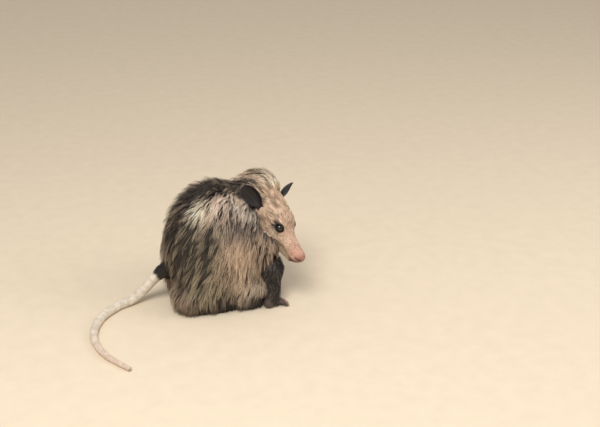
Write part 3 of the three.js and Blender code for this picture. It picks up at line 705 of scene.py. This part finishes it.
def face_marks(q):
    """Colour of the head's fur and skin at a place on it."""
    back, across, up = q.T
    side = np.abs(across)
    colour = np.tile(SAND, (len(q), 1))

    def mix(target, w):
        nonlocal colour
        colour = colour + (target - colour) * np.clip(w, 0, 1)[:, None]

    # Cheek and crown
    mix(tone(190, 168, 138), 0.7 * smooth(back, 58, 80) * smooth(-up, -6, 8))
    mix(tone(186, 156, 126), 0.5 * band(side, 0, 9) * smooth(back, 62, 92))
    mix(tone(206, 182, 150), 0.75 * smooth(back, 96, 116))
    mix(tone(176, 152, 126), 0.7 * band(back, 76, 12) * smooth(side, 13, 21))
    # Jaw, bridge, nose and lips
    # Greyer under the jaw: painted shade
    mix(tone(160, 148, 124), 0.65 * band(back, 36, 13) * smooth(-up, 3, 10))
    mix(tone(200, 168, 146), 0.95 * band(back, 44, 16) * smooth(up, -4, 8))
    mix(PINK, 0.8 * (1 - smooth(back, 14, 36)) * smooth(up, -16, -5))
    mix(RED, 0.6 * (1 - smooth(back, 3, 11)))
    # Dark red under the snout and along the cleft at the tip of the nose: painted shade
    mix(SNOUT_SHADE, 0.95 * (1 - smooth(back, 11, 18)) * smooth(-up, 9, 13))
    mix(SNOUT_SHADE, 0.7 * band(across, 0, 0.9) * (1 - smooth(back, 2, 5)))
    for sign in SIDES:
        away = q - mirrored(EYE[0], sign)
        out, along, high = eye_axes(sign)
        a, b = away @ along, away @ high
        close = np.linalg.norm(away, axis=1) < 22
        tear = np.square(a / np.where(a > 0, 8.8, 9.4)) + np.square((b - 0.05 * a) / 7.0)
        mix(WHITE, 0.6 * close * band(a, 2, 7) * band(b, -11, 4))
        mix(INK, close * (1 - smooth(np.sqrt(tear), 0.88, 1.1)))
        # Nostril and the slit behind it, painted dark inside: painted shade in the openings
        mix(INK, 0.85 * band(np.linalg.norm(q - (1.2, 5.6 * sign, -5.0), axis=1), 0, 3.0))
        slit = np.square((back - 5.5) / 4.0) + np.square((up + 5) / 1.9)
        mix(tone(60, 34, 30), 0.85 * np.exp(-slit) * smooth(across * sign, 5, 7))
    # Dark along the mouth: painted shade in its groove
    mix(tone(64, 38, 34), 0.95 * band(near_line(q, MOUTH_LINE[::2]), 0, 2.2))
    return colour


def skin_colour(p):
    q = to_head(p)
    pale, share = coat_marks(p)
    body = CHARCOAL + (pale - CHARCOAL) * (0.1 + 0.5 * share**3)[:, None]
    face = face_marks(q) * 0.92
    on_head = smooth(body_field(p) - head_field(p), -6, 4)[:, None]
    colour = body + (face - body) * on_head
    colour = colour + (INK - colour) * ear_room(p, 8, 0.3)[:, None]
    legs = np.minimum(leg_field(p, 1), leg_field(p, -1))
    on_leg = smooth(-legs, -3, -0.5) * (1 - smooth(p[:, 2], 70, 95))
    on_tail = smooth(-tail_root_field(p), -4, -0.5)
    dark = np.maximum(on_leg, on_tail)[:, None]
    return colour + (CHARCOAL * 0.6 - colour) * dark


# Materials
def set_inputs(node, **values):
    """Sets a node's inputs. An underscore stands for a space in their names."""
    for key, value in values.items():
        node.inputs[key.replace("_", " ")].default_value = value
    return node


def add_node(tree, kind, **values):
    return set_inputs(tree.nodes.new("ShaderNode" + kind), **values)


def material(name, colour=None, roughness=0.7, **sockets):
    """A shader and its colour: one colour, or the tones of the vertices where none is given."""
    m = bpy.data.materials.new(name)
    m.use_nodes = True
    shader = m.node_tree.nodes["Principled BSDF"]
    set_inputs(shader, Roughness=roughness, **sockets)
    if colour is None:
        source = add_node(m.node_tree, "Attribute")
        source.attribute_name = "tone"
        return m, m.node_tree, shader, source.outputs["Color"]
    source = add_node(m.node_tree, "RGB")
    source.outputs[0].default_value = (*colour, 1)
    return m, m.node_tree, shader, source.outputs[0]


def noise(tree, scale):
    texture = add_node(tree, "TexNoise", Scale=scale, Detail=4.0)
    tree.links.new(add_node(tree, "TexCoord").outputs["Object"], texture.inputs["Vector"])
    return texture.outputs["Fac"]


def ramp(tree, source, low, high, dark, light):
    node = add_node(tree, "MapRange", From_Min=low, From_Max=high, To_Min=dark, To_Max=light)
    tree.links.new(source, node.inputs["Value"])
    return node.outputs["Result"]


def shaded(tree, colour, factor):
    """A colour times a grey factor."""
    mix = add_node(tree, "VectorMath")
    mix.operation = "SCALE"
    tree.links.new(colour, mix.inputs[0])
    tree.links.new(factor, mix.inputs["Scale"])
    return mix.outputs["Vector"]


def bump(tree, shader, height, strength, distance):
    node = add_node(tree, "Bump", Strength=strength, Distance=distance)
    tree.links.new(height, node.inputs["Height"])
    tree.links.new(node.outputs["Normal"], shader.inputs["Normal"])


def mottled(tree, shader, colour, grain, low, high):
    """Joins a colour, made darker and lighter by a grain, to the shader."""
    mixed = shaded(tree, colour, ramp(tree, grain, 0.3, 0.7, low, high))
    tree.links.new(mixed, shader.inputs["Base Color"])


def simple_material(name, colour, scale, depth, roughness, low, high, **sockets):
    """Mottled and finely bumped: scale and depth of the grain, then its darkest and lightest."""
    m, tree, shader, output = material(name, colour, roughness, **sockets)
    grain = noise(tree, scale)
    mottled(tree, shader, output, grain, low, high)
    bump(tree, shader, grain, 0.6, depth)
    return m


def tail_material():
    """Bare skin in rings of small scales, black at the root and pale after it."""
    m, tree, shader, output = material("tail_skin", None, 0.5)
    uv = add_node(tree, "UVMap")
    uv.uv_map = "UVMap"
    scales = add_node(tree, "TexBrick", Scale=1.0, Brick_Width=1 / SCALES_AROUND,
                      Row_Height=1 / SCALE_RINGS, Mortar_Size=0.0011, Mortar_Smooth=0.6)
    tree.links.new(uv.outputs["UV"], scales.inputs["Vector"])
    seam = ramp(tree, scales.outputs["Fac"], 0, 1, 1.0, 0.62)
    grain = noise(tree, 160)
    mottled(tree, shader, shaded(tree, output, seam), grain, 0.8, 1.12)
    bump(tree, shader, seam, 0.5, 0.0003)
    return m


coat_material = simple_material("coat_hair", None, 900, 0.0001, 0.62, 0.86, 1.1)
skin_material = simple_material("coat_skin", None, 700, 0.0006, 0.8, 0.7, 1.15)
nose_material = simple_material("nose_skin", None, 1400, 0.0002, 0.32, 0.9, 1.1)
paw_material = simple_material("paw_skin", None, 900, 0.0004, 0.55, 0.75, 1.15)
ear_material = simple_material("ear_skin", tone(34, 29, 30), 420, 0.0004, 0.5, 0.7, 1.25)
eye_material = simple_material("eye_gloss", tone(12, 8, 7), 300, 0.00001, 0.12, 0.8, 1.2,
                               Coat_Weight=0.4, Coat_Roughness=0.04)
claw_material = simple_material("claw_horn", tone(150, 132, 112), 600, 0.0001, 0.35, 0.7, 1.2)


# Skin
skin_grid = (
    steps(-125, (HEAD_LOW[0], SKIN_STEP), (HEAD_HIGH[0], FACE_STEP), (112, SKIN_STEP)),
    steps(-118, (HEAD_LOW[1], 2), (HEAD_HIGH[1], FACE_STEP), (90, SKIN_STEP)),
    steps(-2, (HEAD_LOW[2], SKIN_STEP), (HEAD_HIGH[2], FACE_STEP), (198, SKIN_STEP)),
)
skin_points, skin_normals, skin_quads = surface(skin_field, *skin_grid)
skin_centres = skin_points[skin_quads].mean(1)
on_nose = to_head(skin_centres)[:, 0] < NOSE_CUT
on_nose &= np.linalg.norm(skin_centres - NOSE_TIP, axis=1) < 30


def add_skin(name, mask, mat):
    """The part of the skin whose faces are picked, with its own vertex numbers."""
    used, faces = np.unique(skin_quads[mask], return_inverse=True)
    points = skin_points[used]
    obj = make_mesh(name, points, [faces.reshape(-1, 4)], skin_normals[used], skin_colour(points))
    return place(obj, mat)


skin = add_skin("skin", ~on_nose, skin_material)
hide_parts("torso", "neck", "head", "hind_leg_right", "hind_leg_left",
            "foreleg_right", "foreleg_left", "tail_root")
nose = add_skin("nose_pad", on_nose, nose_material)
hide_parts("nose")


# Eyes
for side, word in SIDES.items():
    ball, quads, caps = sphere(48, 23)
    centre = from_head(mirrored(EYE[0], side))
    obj = place(make_mesh("eyeball_" + word, centre + ball * EYE[1], [quads, caps]),
                eye_material)
    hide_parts("eye_" + word)


# Ears: thin cupped leaves with a fold along the front rim
def ear_mesh(side):
    root, along, across, open_way = ear_axes(side)
    rows = columns = 40
    v, u = np.meshgrid(np.linspace(0, 1, rows + 1), np.linspace(-1, 1, columns + 1), indexing="ij")
    broad = np.sqrt(np.maximum(1 - np.square((v - 0.56) / 0.46), 0.02))
    half = EAR["width"] / 2 * np.maximum(broad, 0.42 * np.sqrt(1 - v))
    curl = 1.15 - 0.45 * v
    turn = u * curl
    arch = np.sin(v * np.pi)
    depth = 1.65 * half * (1 - np.cos(turn)) - 5 * arch
    ribs = 0.35 * np.sin(9 * u + 2 * v) * arch + 0.5 * band(np.abs(u), 0.93, 0.06)
    faces = []
    for raised in (0, EAR["thick"] + ribs):
        p = root + along * (v * EAR_LONG)[..., None]
        p = p + across * (half * np.sin(turn) / np.sin(curl))[..., None]
        p = p + open_way * (depth + raised)[..., None]
        faces.append(p.reshape(-1, 3))
    wide = columns + 1
    size = (rows + 1) * wide
    index = np.arange(size).reshape(rows + 1, wide)
    a = index[:-1, :-1].ravel()
    sheet = np.stack([a, a + wide, a + wide + 1, a + 1], 1)
    rim = np.concatenate([index[0, :-1], index[:-1, -1], index[-1, :0:-1], index[:0:-1, 0]])
    after = np.roll(rim, -1)
    edge = np.stack([rim, after, size + after, size + rim], 1)
    points = np.concatenate(faces)
    quads = np.concatenate([sheet, size + sheet[:, ::-1], edge])
    a, b, c = (points[quads[:, k]] for k in (0, 1, 2))
    if np.sum(a * np.cross(b, c)) < 0:
        quads = quads[:, ::-1]
    return points, quads


for side, word in SIDES.items():
    points, quads = ear_mesh(side)
    obj = place(make_mesh("ear_leaf_" + word, points, [quads]), ear_material)
    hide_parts("ear_" + word)


# Feet: a palm or sole, five toes with knuckles and pads, and claws
def toes_of(palm, heading, size):
    across = np.array([-heading[1], heading[0], 0.0])
    toes = []
    for i in range(-2, 3):
        a = i * size["fan"]
        way = heading * math.cos(a) + across * math.sin(a)
        reach = size["toe"] * (1 - 0.05 * i * i)
        root = palm + across * i * size["width"] * 0.17
        knuckle = root + way * reach * 0.5
        knuckle[2] = KNUCKLE_HEIGHT
        end = root + way * reach
        end[2] = size["radius"] - 0.1
        tip = root + way * (reach + CLAW["length"])
        tip[2] = CLAW["tip"]
        toes.append((root, knuckle, end, tip, way))
    return toes


def foot_field(p, parts, toes, radius):
    f = None
    for a, b, ra, rb in parts:
        g = round_cone(p, a, b, ra, rb)
        f = g if f is None else blend(f, g, 7)
    for root, knuckle, end, tip, way in toes:
        f = blend(f, round_cone(p, root, knuckle, radius, radius * 0.86), 3)
        f = blend(f, round_cone(p, knuckle, end, radius * 0.86, radius * 0.78), 1.2)
        f = blend(f, round_cone(p, end, end + way * 1.5, radius * 0.9, radius * 0.7), 1.5)
    return np.maximum(f, 0.15 - p[:, 2])


def add_claws(name, toes):
    verts, quads, caps = [], [], []
    for root, knuckle, end, tip, way in toes:
        start = end + way * 0.8 + np.array([0, 0, 0.5])
        middle = (start + tip) / 2 + np.array([0, 0, 0.9])
        v, q, c, _, _ = tube([start, middle, tip], CLAW["radii"], CLAW["sides"], CLAW["rings"])
        base = sum(len(x) for x in verts)
        v[:, 2] = np.maximum(v[:, 2], 0.1)
        verts.append(v)
        quads.append(q + base)
        caps.append(c + base)
    faces = [np.concatenate(quads), np.concatenate(caps)]
    place(make_mesh(name, np.concatenate(verts), faces), claw_material)


def add_foot(name, node, parts, size, palm, heading):
    """A foot whose dark skin turns pink towards the ends of its toes."""
    toes = toes_of(palm, heading, size)

    def field(p):
        return np.maximum(foot_field(p, parts, toes, size["radius"]), p[:, 2] - FOOT_TOP + 2)

    points = np.array([c for part in parts for c in part[:2]] + [t[3] for t in toes])
    low, high = points.min(0) - 16, points.max(0) + 16
    grid = [
        steps(low[0], (high[0], FOOT_STEP)), steps(low[1], (high[1], FOOT_STEP)),
        steps(-1.2, (FOOT_TOP, FOOT_STEP)),
    ]
    verts, normals, quads = surface(field, *grid)
    reach = size["toe"]
    pink = size["pink"] * smooth((verts - palm) @ heading, reach * 0.45, reach * 1.1)
    colour = PAW_DARK + (PAW_PINK - PAW_DARK) * pink[:, None]
    foot = place(make_mesh(name, verts, [quads], normals, colour), paw_material)
    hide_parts(node)
    add_claws(name + "_claws", toes)


for side, word in SIDES.items():
    leg = FORELEG[side]
    angle = math.radians(leg["toe"])
    heading = np.array([math.cos(angle), math.sin(angle), 0.0])
    heel = np.array([*leg["wrist"][:2], 8.0]) - heading * FOREPAW["heel"]
    palm = heel + heading * FOREPAW["length"]
    wrist = np.array([*leg["wrist"][:2], 26.0])
    parts = [(wrist, heel, 7.6, 6.0), (heel, palm, 6.2, 6.6)]
    add_foot("paw_" + word, "forepaw_" + word, parts, FOREPAW, palm, heading)

    heel = np.array([*HIND[side][0], 7.0])
    ball = np.array([*HIND[side][1], 6.0])
    heading = unit((ball - heel) * (1, 1, 0))
    ankle = heel + heading * 8
    ankle[2] = 24
    parts = [(heel, ball, 7.5, 7.5), (ankle, heel + heading * 4, 8.5, 7.6)]
    add_foot("foot_" + word, "hind_foot_" + word, parts, HINDFOOT, ball, heading)


# Tail: ringed, dark at the root, white with a ragged start and rosy towards the tip
verts, quads, caps, share, spin = tube(TAIL_POINTS, TAIL_RADII, TAIL_SIDES, TAIL_RINGS)
ring = 0.1 * np.sin(share * SCALE_RINGS * 2 * np.pi)
around = np.concatenate([np.repeat(TAIL_LINE, TAIL_SIDES, 0), TAIL_LINE[[0, -1]]])
verts = verts + unit(verts - around) * ring[:, None]
verts[:, 2] = np.maximum(verts[:, 2], 0.2)
ragged = 0.006 * np.sin(spin * 2 * np.pi * 3) + 0.004 * np.sin(spin * 2 * np.pi * 7 + 1)
ragged = ragged + rng.normal(0, 0.003, len(spin))
pale = smooth(share + ragged, *TAIL_WHITE)[:, None]
tail_tone = CHARCOAL * 0.7 + (tone(228, 218, 202) - CHARCOAL * 0.7) * pale
rosy = 0.5 * smooth(share, 0.55, 1)
tail_tone = tail_tone + (tone(216, 176, 156) - tail_tone) * rosy[:, None]
tail_tone = tail_tone * (1 + 0.07 * np.sin(share * 31 + 4 * spin) * np.sin(share * 83))[:, None]
keep = share[quads[:, 0]] > TAIL_ROOT_SHARE * 0.5
tail = make_mesh("tail_skin", verts, [quads[keep], caps[TAIL_SIDES:]], None, tail_tone,
                 np.stack([spin, share], 1))
place(tail, tail_material())
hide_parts("tail_1", "tail_2", "tail_3", "tail_4")


# Coat
def scatter(weight, count):
    """Random places on the skin and its normals there, as dense as weight says."""
    triangles = np.concatenate([skin_quads[:, [0, 1, 2]], skin_quads[:, [0, 2, 3]]])
    a, b, c = (skin_points[triangles[:, k]] for k in range(3))
    area = np.linalg.norm(np.cross(b - a, c - a), axis=1) / 2
    chance = area * weight((a + b + c) / 3)
    pick = rng.choice(len(triangles), int(count * DENSITY), p=chance / chance.sum())
    u = np.sqrt(rng.random(len(pick)))[:, None]
    v = rng.random(len(pick))[:, None]
    spots = a[pick] * (1 - u) + b[pick] * u * (1 - v) + c[pick] * u * v
    na, nb, nc = (skin_normals[triangles[pick, k]] for k in range(3))
    return spots, unit(na * (1 - u) + nb * u * (1 - v) + nc * u * v)


def comb(root, normal, length, lift, turn, lie, field, rings, reach=1.0):
    """Paths of tufts that rise from the skin to their level and lie back along the body."""
    base = field(root)
    p = root.copy()
    path, out = [p.copy()], [normal.copy()]
    for k in range(1, rings + 1):
        share = k / rings
        n = slope(field, p, reach)
        way = spun(unit(lie(n, p)), n, turn * (0.6 + 0.6 * share))
        hang = smooth(-n[:, 2], -0.12, 0.3)[:, None]
        step = unit(way * (1 - hang) + np.array([0, 0, -1.0]) * hang)
        p = p + step * (length / rings)[:, None]
        level = base + lift * np.sin(share * np.pi / 2) ** 0.9
        p = p + n * ((level - field(p)) * (1 - hang[:, 0]))[:, None]
        low = p[:, 2] < HAIR_OFF_FLOOR
        p[low, :2] += n[low, :2] * 2.0
        p[:, 2] = np.maximum(p[:, 2], HAIR_OFF_FLOOR)
        path.append(p.copy())
        out.append(n)
    return np.stack(path, 1), np.stack(out, 1)


def leaders(root, every):
    """One tuft in so many leads a lock. Returns the leaders and each tuft's lock."""
    chief = rng.choice(len(root), max(1, len(root) // every), replace=False)
    tree = kdtree.KDTree(len(chief))
    for i, k in enumerate(chief):
        tree.insert(root[k], i)
    tree.balance()
    return chief, np.array([tree.find(r)[1] for r in root])


def draw_together(path, chief, lock, pull):
    """Draws the tips of a lock's tufts towards its leader."""
    share = np.linspace(0, 1, path.shape[1])
    weight = pull[:, None] * share[None] ** 1.3
    path += (path[chief[lock]] - path) * weight[..., None]


def varied(lock, count, between, within):
    """A random share for each tuft, part of it the same through its lock."""
    return rng.normal(0, between, lock.max() + 1)[lock] + rng.normal(0, within, count)


def clear_of_ears(path):
    """Tufts that stay out of the cups of the ears."""
    between = (path[:, 1:] + path[:, :-1]) / 2
    flat = np.concatenate([path, between], 1)
    return ear_room(flat.reshape(-1, 3), 16, 0.4).reshape(flat.shape[:2]).max(1) < 0.25


def tuft_faces(last):
    """Quads and triangles of one tuft, facing outwards."""
    quads = []
    for k in range(last - 1):
        for c in range(3):
            a, b = 3 * k + c, 3 * k + (c + 1) % 3
            quads.append((a, b, b + 3, a + 3))
    tip = 3 * last
    tris = [(tip - 3 + c, tip - 3 + (c + 1) % 3, tip) for c in range(3)] + [(0, 2, 1)]
    return np.array(quads), np.array(tris)


def build_tufts(name, profile, path, out, width, colours, root_uv):
    """Joined meshes of closed, three-sided, tapered tufts."""
    count, last = path.shape[0], path.shape[1] - 1
    way = unit(np.gradient(path, axis=1))
    side = unit(np.cross(out, way))
    rise = np.cross(way, side)[:, :last]
    side = side[:, :last]
    wide = np.outer(width, profile)[..., None]
    high = np.outer(width * TUFT_THICK, profile)[..., None]
    body = path[:, :last]
    left = body - side * wide / 2 - rise * high * 0.4
    right = body + side * wide / 2 - rise * high * 0.4
    top = body + rise * high * 0.6
    rings = np.stack([left, right, top], 2)
    points = np.concatenate([rings.reshape(count, -1, 3), path[:, last:]], 1)
    soft = out[:, :last] * 0.85
    shade = np.stack([soft - side * 0.6, soft + side * 0.6, soft], 2)
    normals = unit(np.concatenate([shade.reshape(count, -1, 3), out[:, last:]], 1))
    quads, tris = tuft_faces(last)
    per = 3 * last + 1
    patch = np.zeros((per, 2))
    patch[:-1, 0] = np.tile([0, 1, 0.5], last)
    patch[:-1, 1] = np.repeat(np.arange(last) / last, 3)
    patch[-1] = (0.5, 1)
    step = PIECE_LIMIT // (len(quads) * 2 + len(tris))
    for number, start in enumerate(range(0, count, step), 1):
        stop = min(count, start + step)
        offset = (np.arange(stop - start) * per)[:, None, None]
        uv = root_uv[start:stop, None] + (patch[None] - 0.5) * 0.003
        obj = make_mesh(
            f"{name}_{number}",
            points[start:stop].reshape(-1, 3),
            [(quads[None] + offset).reshape(-1, 4), (tris[None] + offset).reshape(-1, 3)],
            normals[start:stop].reshape(-1, 3),
            colours[start:stop].reshape(-1, 3),
            uv.reshape(-1, 2),
            "OFBake",
        )
        place(obj, coat_material)


def on_sheet(share):
    """A share of the unwrap, kept off its edges."""
    return 0.01 + 0.98 * share


def spread_uv(direction):
    """A place on the unwrap of a rounded form: its turn and its height."""
    d = unit(direction)
    turn = np.arctan2(d[:, 1], d[:, 0]) / (2 * np.pi) + 0.5
    return np.stack([on_sheet(turn), on_sheet(0.5 + 0.5 * d[:, 2])], 1)


def strand_colours(last, root_tone, middle_tone, tip_tone):
    """Colours from root to tip for every vertex of each tuft."""
    share = np.concatenate([np.repeat(np.arange(last) / last, 3), [1.0]])
    first = np.clip(share / 0.5, 0, 1)[None, :, None]
    second = np.clip((share - 0.5) / 0.4, 0, 1)[None, :, None]
    tones = root_tone[:, None] + (middle_tone - root_tone)[:, None] * first
    return np.clip(tones + (tip_tone - middle_tone)[:, None] * second, 0, 1)


# Long coat of the body. Hair lies back and down, and back from the face on the crown
def body_lie(n, p):
    way = np.stack([np.full(len(n), -0.5), np.zeros(len(n)), -0.45 - 0.8 * (1 - n[:, 2])], 1)
    way[:, 1] = 0.25 * np.tanh((p[:, 1] - MIDLINE) / 14) * np.clip(n[:, 2], 0, 1)
    crown = (1 - smooth(head_field(p), 6, 38)) * smooth(to_head(p)[:, 2], -4, 12)
    way = way + (-AHEAD - way) * crown[:, None]
    return along_skin(way, n)


def on_body(p):
    clear = smooth(head_field(p), 0.4, 2.5) * (1 - 0.8 * ear_room(p))
    clear = clear * (p[:, 2] > 3) * (0.25 + 0.75 * smooth(p[:, 2], 4, 14))
    return clear * (tail_root_field(p) > 2) * (np.abs(body_field(p)) < 4)


root, normal = scatter(on_body, TUFTS["body"])
count = len(root)
depth = -tips_field(root)
seen = root + unit(body_lie(normal, root)) * 15 + normal * depth[:, None] * 0.7
pale, share = coat_marks(seen)
chief, lock = leaders(root, 8)
draw = 0.86 * rng.random(len(chief))[lock] + 0.14 * rng.random(count)
guard = draw < share


def by_kind(ranges):
    """A random value for each tuft, from the range for guard hair or underfur."""
    return np.where(guard, rng.uniform(*ranges[0], count), rng.uniform(*ranges[1], count))


# Areas where the coat is shorter, flatter, longer or ruffled
x, y, z = root.T
off_middle = np.abs(y - MIDLINE)
ridge = (1 - smooth(off_middle, 12, 36)) * smooth(z, 110, 150)
ruff = 1 - smooth(head_field(root), 5, 16)
crown = ruff * smooth(to_head(root)[:, 2], -4, 12)
nape = near(root, *FLAT_NAPE)
valley = near(root, *VALLEY)
apron = smooth(x, -8, 8) * (1 - smooth(x, 46, 54))
apron = apron * (1 - smooth(z, 74, 95)) * smooth(off_middle, 30, 45)
ruffled = ridge * (1 - smooth(x, 5, 25))

length = by_kind(HAIR_LENGTH)
length = length * (1 - 0.3 * np.maximum(ridge, nape))
length = length * (1 - np.maximum(0.45 * ruff, 0.2 * valley)) + APRON_LONGER * apron
length = np.minimum(length, z * 1.05 + rng.uniform(0, 4, count))
level = by_kind(HAIR_LEVEL)
level = level + ruffled * rng.uniform(0.0, 0.24, count)
level = level + (ruff - crown) * rng.uniform(0.1, 0.4, count)
level = level * (1 - 0.45 * np.maximum(crown, nape))
turn = varied(lock, count, 0.17, 0.1)
path, out = comb(root, normal, length, depth * level, turn, body_lie, tips_field, 4, 7.0)
draw_together(path, chief, lock, by_kind(HAIR_PULL))
big_chief, big = leaders(root, 170)
draw_together(path, big_chief, big, rng.uniform(0.0, 0.22, count))

bright = 1 + varied(lock, count, 0.2, 0.12) + varied(big, count, 0.08, 0)
bright = np.clip(bright, 0.35, 1.6)[:, None]
warm = (share**3)[:, None]
soft = near(seen, *GREY_SHOULDER)[:, None]
root_tone = np.tile(CHARCOAL, (count, 1)) * rng.uniform(0.4, 1.0, (count, 1))
root_tone = root_tone + (pale * 0.5 - root_tone) * warm * 0.9
guard_middle = pale * (0.62 + 0.24 * warm)
under_middle = CHARCOAL + (pale - CHARCOAL) * 0.06
middle = np.where(guard[:, None], guard_middle, under_middle) * bright
under_tips = SOOT * 0.75 + (pale - SOOT) * (0.13 + 0.45 * soft)
tips = np.where(guard[:, None], pale * 1.18, under_tips) * bright
black = (rng.random(count) < BLACK_SHARE)[:, None]
tips = np.where(black, CHARCOAL * 0.8, tips)
# Tips darker towards the floor: dark underfur of the hem, and in part painted shade where the coat
# meets the floor
low = (0.4 + 0.6 * smooth(path[:, -1, 2], 2, 20))[:, None]
tones = strand_colours(4, root_tone, middle, tips * low)
width = by_kind(HAIR_WIDTH)
body_uv = spread_uv(root - (-8, MIDLINE, 78))
keep = clear_of_ears(path)
build_tufts("coat_body", LONG_PROFILE, *(a[keep] for a in (path, out, width, tones, body_uv)))


# Short coat of the face, crown and cheeks
def head_lie(n, p):
    q = to_head(p)
    apart = 0.25 * np.tanh(q[:, 1] / 8) * smooth(q[:, 0], 20, 80)
    down = -0.35 * smooth(-q[:, 2], -12, 6)
    return along_skin(np.stack([np.full(len(q), 1.0), apart, down], 1) @ HEAD_AXES, n)


def on_head(p):
    q = to_head(p)
    keep_off = 1 - 0.6 * ear_room(p)
    for side in SIDES:
        away = np.linalg.norm(q - mirrored(EYE[0], side), axis=1)
        keep_off = keep_off * smooth(away, 7.4, 9.0)
    bare = smooth(q[:, 0], 11, 19)
    finer = 0.6 + 1.2 * (1 - smooth(q[:, 0], 30, 80))
    return finer * bare * keep_off * (head_field(p) < 0.8) * smooth(body_field(p), -3, 1)


def fine_field(p):
    return blend(skull_field(p) + face_fur(to_head(p)), body_field(p), 5)


root, normal = scatter(on_head, TUFTS["head"])
count = len(root)
q = to_head(root)
size = smooth(q[:, 0], 16, 100)
crown = smooth(q[:, 0], 88, 108)
chief, lock = leaders(root, 9)
length = (2.4 + 11 * size + 5 * crown) * rng.uniform(0.75, 1.25, count)
lift = (0.4 + 3.2 * size**1.5 + 4 * crown) * rng.uniform(0.6, 1.25, count)
turn = varied(lock, count, 0.2, 0.14)
path, out = comb(root, normal, length, lift, turn, head_lie, fine_field, 3)
draw_together(path, chief, lock, rng.uniform(0.15, 0.7, count))
face = face_marks(q)
brown = (rng.random(len(chief)) < 0.38)[lock] * smooth(q[:, 0], 40, 72) * 0.75
face = face + (tone(136, 112, 88) - face) * brown[:, None]
bright = np.clip(1 + varied(lock, count, 0.17, 0.13), 0.4, 1.5)[:, None]
tones = strand_colours(3, face * 0.5, face * bright * 0.95, face * bright * 1.1)
around = np.arctan2(q[:, 1], q[:, 2]) / (2 * np.pi) + 0.5
head_uv = np.stack([on_sheet(around), on_sheet(np.clip(q[:, 0] / 150, 0, 1))], 1)
width = (0.38 + 0.42 * size) * rng.uniform(0.8, 1.25, count)
keep = clear_of_ears(path)
build_tufts("coat_head", SHORT_PROFILE, *(a[keep] for a in (path, out, width, tones, head_uv)))


# Dark coat of the forelegs and the root of the tail
def lie_along(way):
    """Hair that lies one way all over."""
    return lambda n, p: along_skin(np.tile(way, (len(n), 1)), n)


def add_dark_coat(name, weight, tufts, room, hair, lie, field, centre):
    """Short dark hair. room says how long a hair can be at its root."""
    shortest, longest, grey_share = hair
    root, normal = scatter(weight, tufts)
    count = len(root)
    length = np.clip(room(root), shortest, rng.uniform(*longest, count))
    lift = rng.uniform(*DARK_LIFT, count)
    turn = rng.normal(0, 0.2, count)
    path, out = comb(root, normal, length, lift, turn, lie, field, 3)
    chief, lock = leaders(root, 12)
    draw_together(path, chief, lock, rng.uniform(0.1, 0.6, count))
    colour = CHARCOAL * rng.uniform(0.35, 1.2, (count, 1))
    grey = (rng.random(count) < grey_share)[:, None]
    tips = np.where(grey, tone(138, 122, 108), colour)
    width = rng.uniform(0.6, 1.0, count)
    tones = strand_colours(3, colour * 0.7, colour, tips)
    build_tufts(name, SHORT_PROFILE, path, out, width, tones, spread_uv(root - centre))


def on_leg(p):
    return (np.abs(leg_field(p, side)) < 1.5) * (p[:, 2] > 9.5) * (body_field(p) > 1)


for side, word in SIDES.items():
    add_dark_coat("coat_leg_" + word, on_leg, TUFTS["leg"], lambda root: root[:, 2] - 3, LEG_HAIR,
                  lie_along(LEG_LIE), lambda p: round_leg(p, side), FORELEG[side]["elbow"])


def on_tail_root(p):
    return (np.abs(tail_root_field(p)) < 1.5) * (body_field(p) > 1)


def off_bare_tail(root):
    bare = TAIL_LINE[round((TAIL_RINGS - 1) * TAIL_ROOT_SHARE)]
    return np.linalg.norm(root - bare, axis=1) - 5


tail_way = unit(np.subtract(TAIL_POINTS[1], TAIL_POINTS[0]))
add_dark_coat("coat_tail", on_tail_root, TUFTS["tail"], off_bare_tail, TAIL_HAIR,
              lie_along(tail_way), tail_root_field, TAIL_POINTS[1])


# Floor, light and camera
floor_mesh = bpy.data.meshes.new("floor")
corners = [(x * FLOOR_HALF, y * FLOOR_HALF, 0) for x, y in ((-1, -1), (1, -1), (1, 1), (-1, 1))]
floor_mesh.from_pydata(corners, [], [(0, 1, 2, 3)])
floor = add_object("floor", floor_mesh)
floor_mesh.materials.append(
    simple_material("floor_pale", tone(226, 212, 190), 40, 0.0002, 0.9, 0.97, 1.02)
)

world = bpy.data.worlds.new("studio")
world.use_nodes = True
set_inputs(world.node_tree.nodes["Background"], Color=WORLD_LIGHT[0], Strength=WORLD_LIGHT[1])
bpy.context.scene.world = world
bpy.context.scene.view_settings.view_transform = "Standard"

for name, at, size, power, colour in LIGHTS:
    data = bpy.data.lights.new(name, "AREA")
    data.shape = "DISK"
    data.size = size
    data.energy = power
    data.color = colour
    lamp = add_object(name, data)
    lamp.location = at
    lamp_way = Vector(LIGHT_TARGET) - Vector(at)
    lamp.rotation_euler = lamp_way.to_track_quat("-Z", "Y").to_euler()

camera_data = bpy.data.cameras.new("camera")
camera_data.lens = CAMERA_LENS
camera_data.sensor_width = CAMERA_SENSOR
camera = add_object("camera", camera_data)
camera.location = CAMERA_AT
camera.rotation_mode = "QUATERNION"
camera.rotation_quaternion = Vector(CAMERA_WAY).to_track_quat("-Z", "Y")
bpy.context.scene.camera = camera
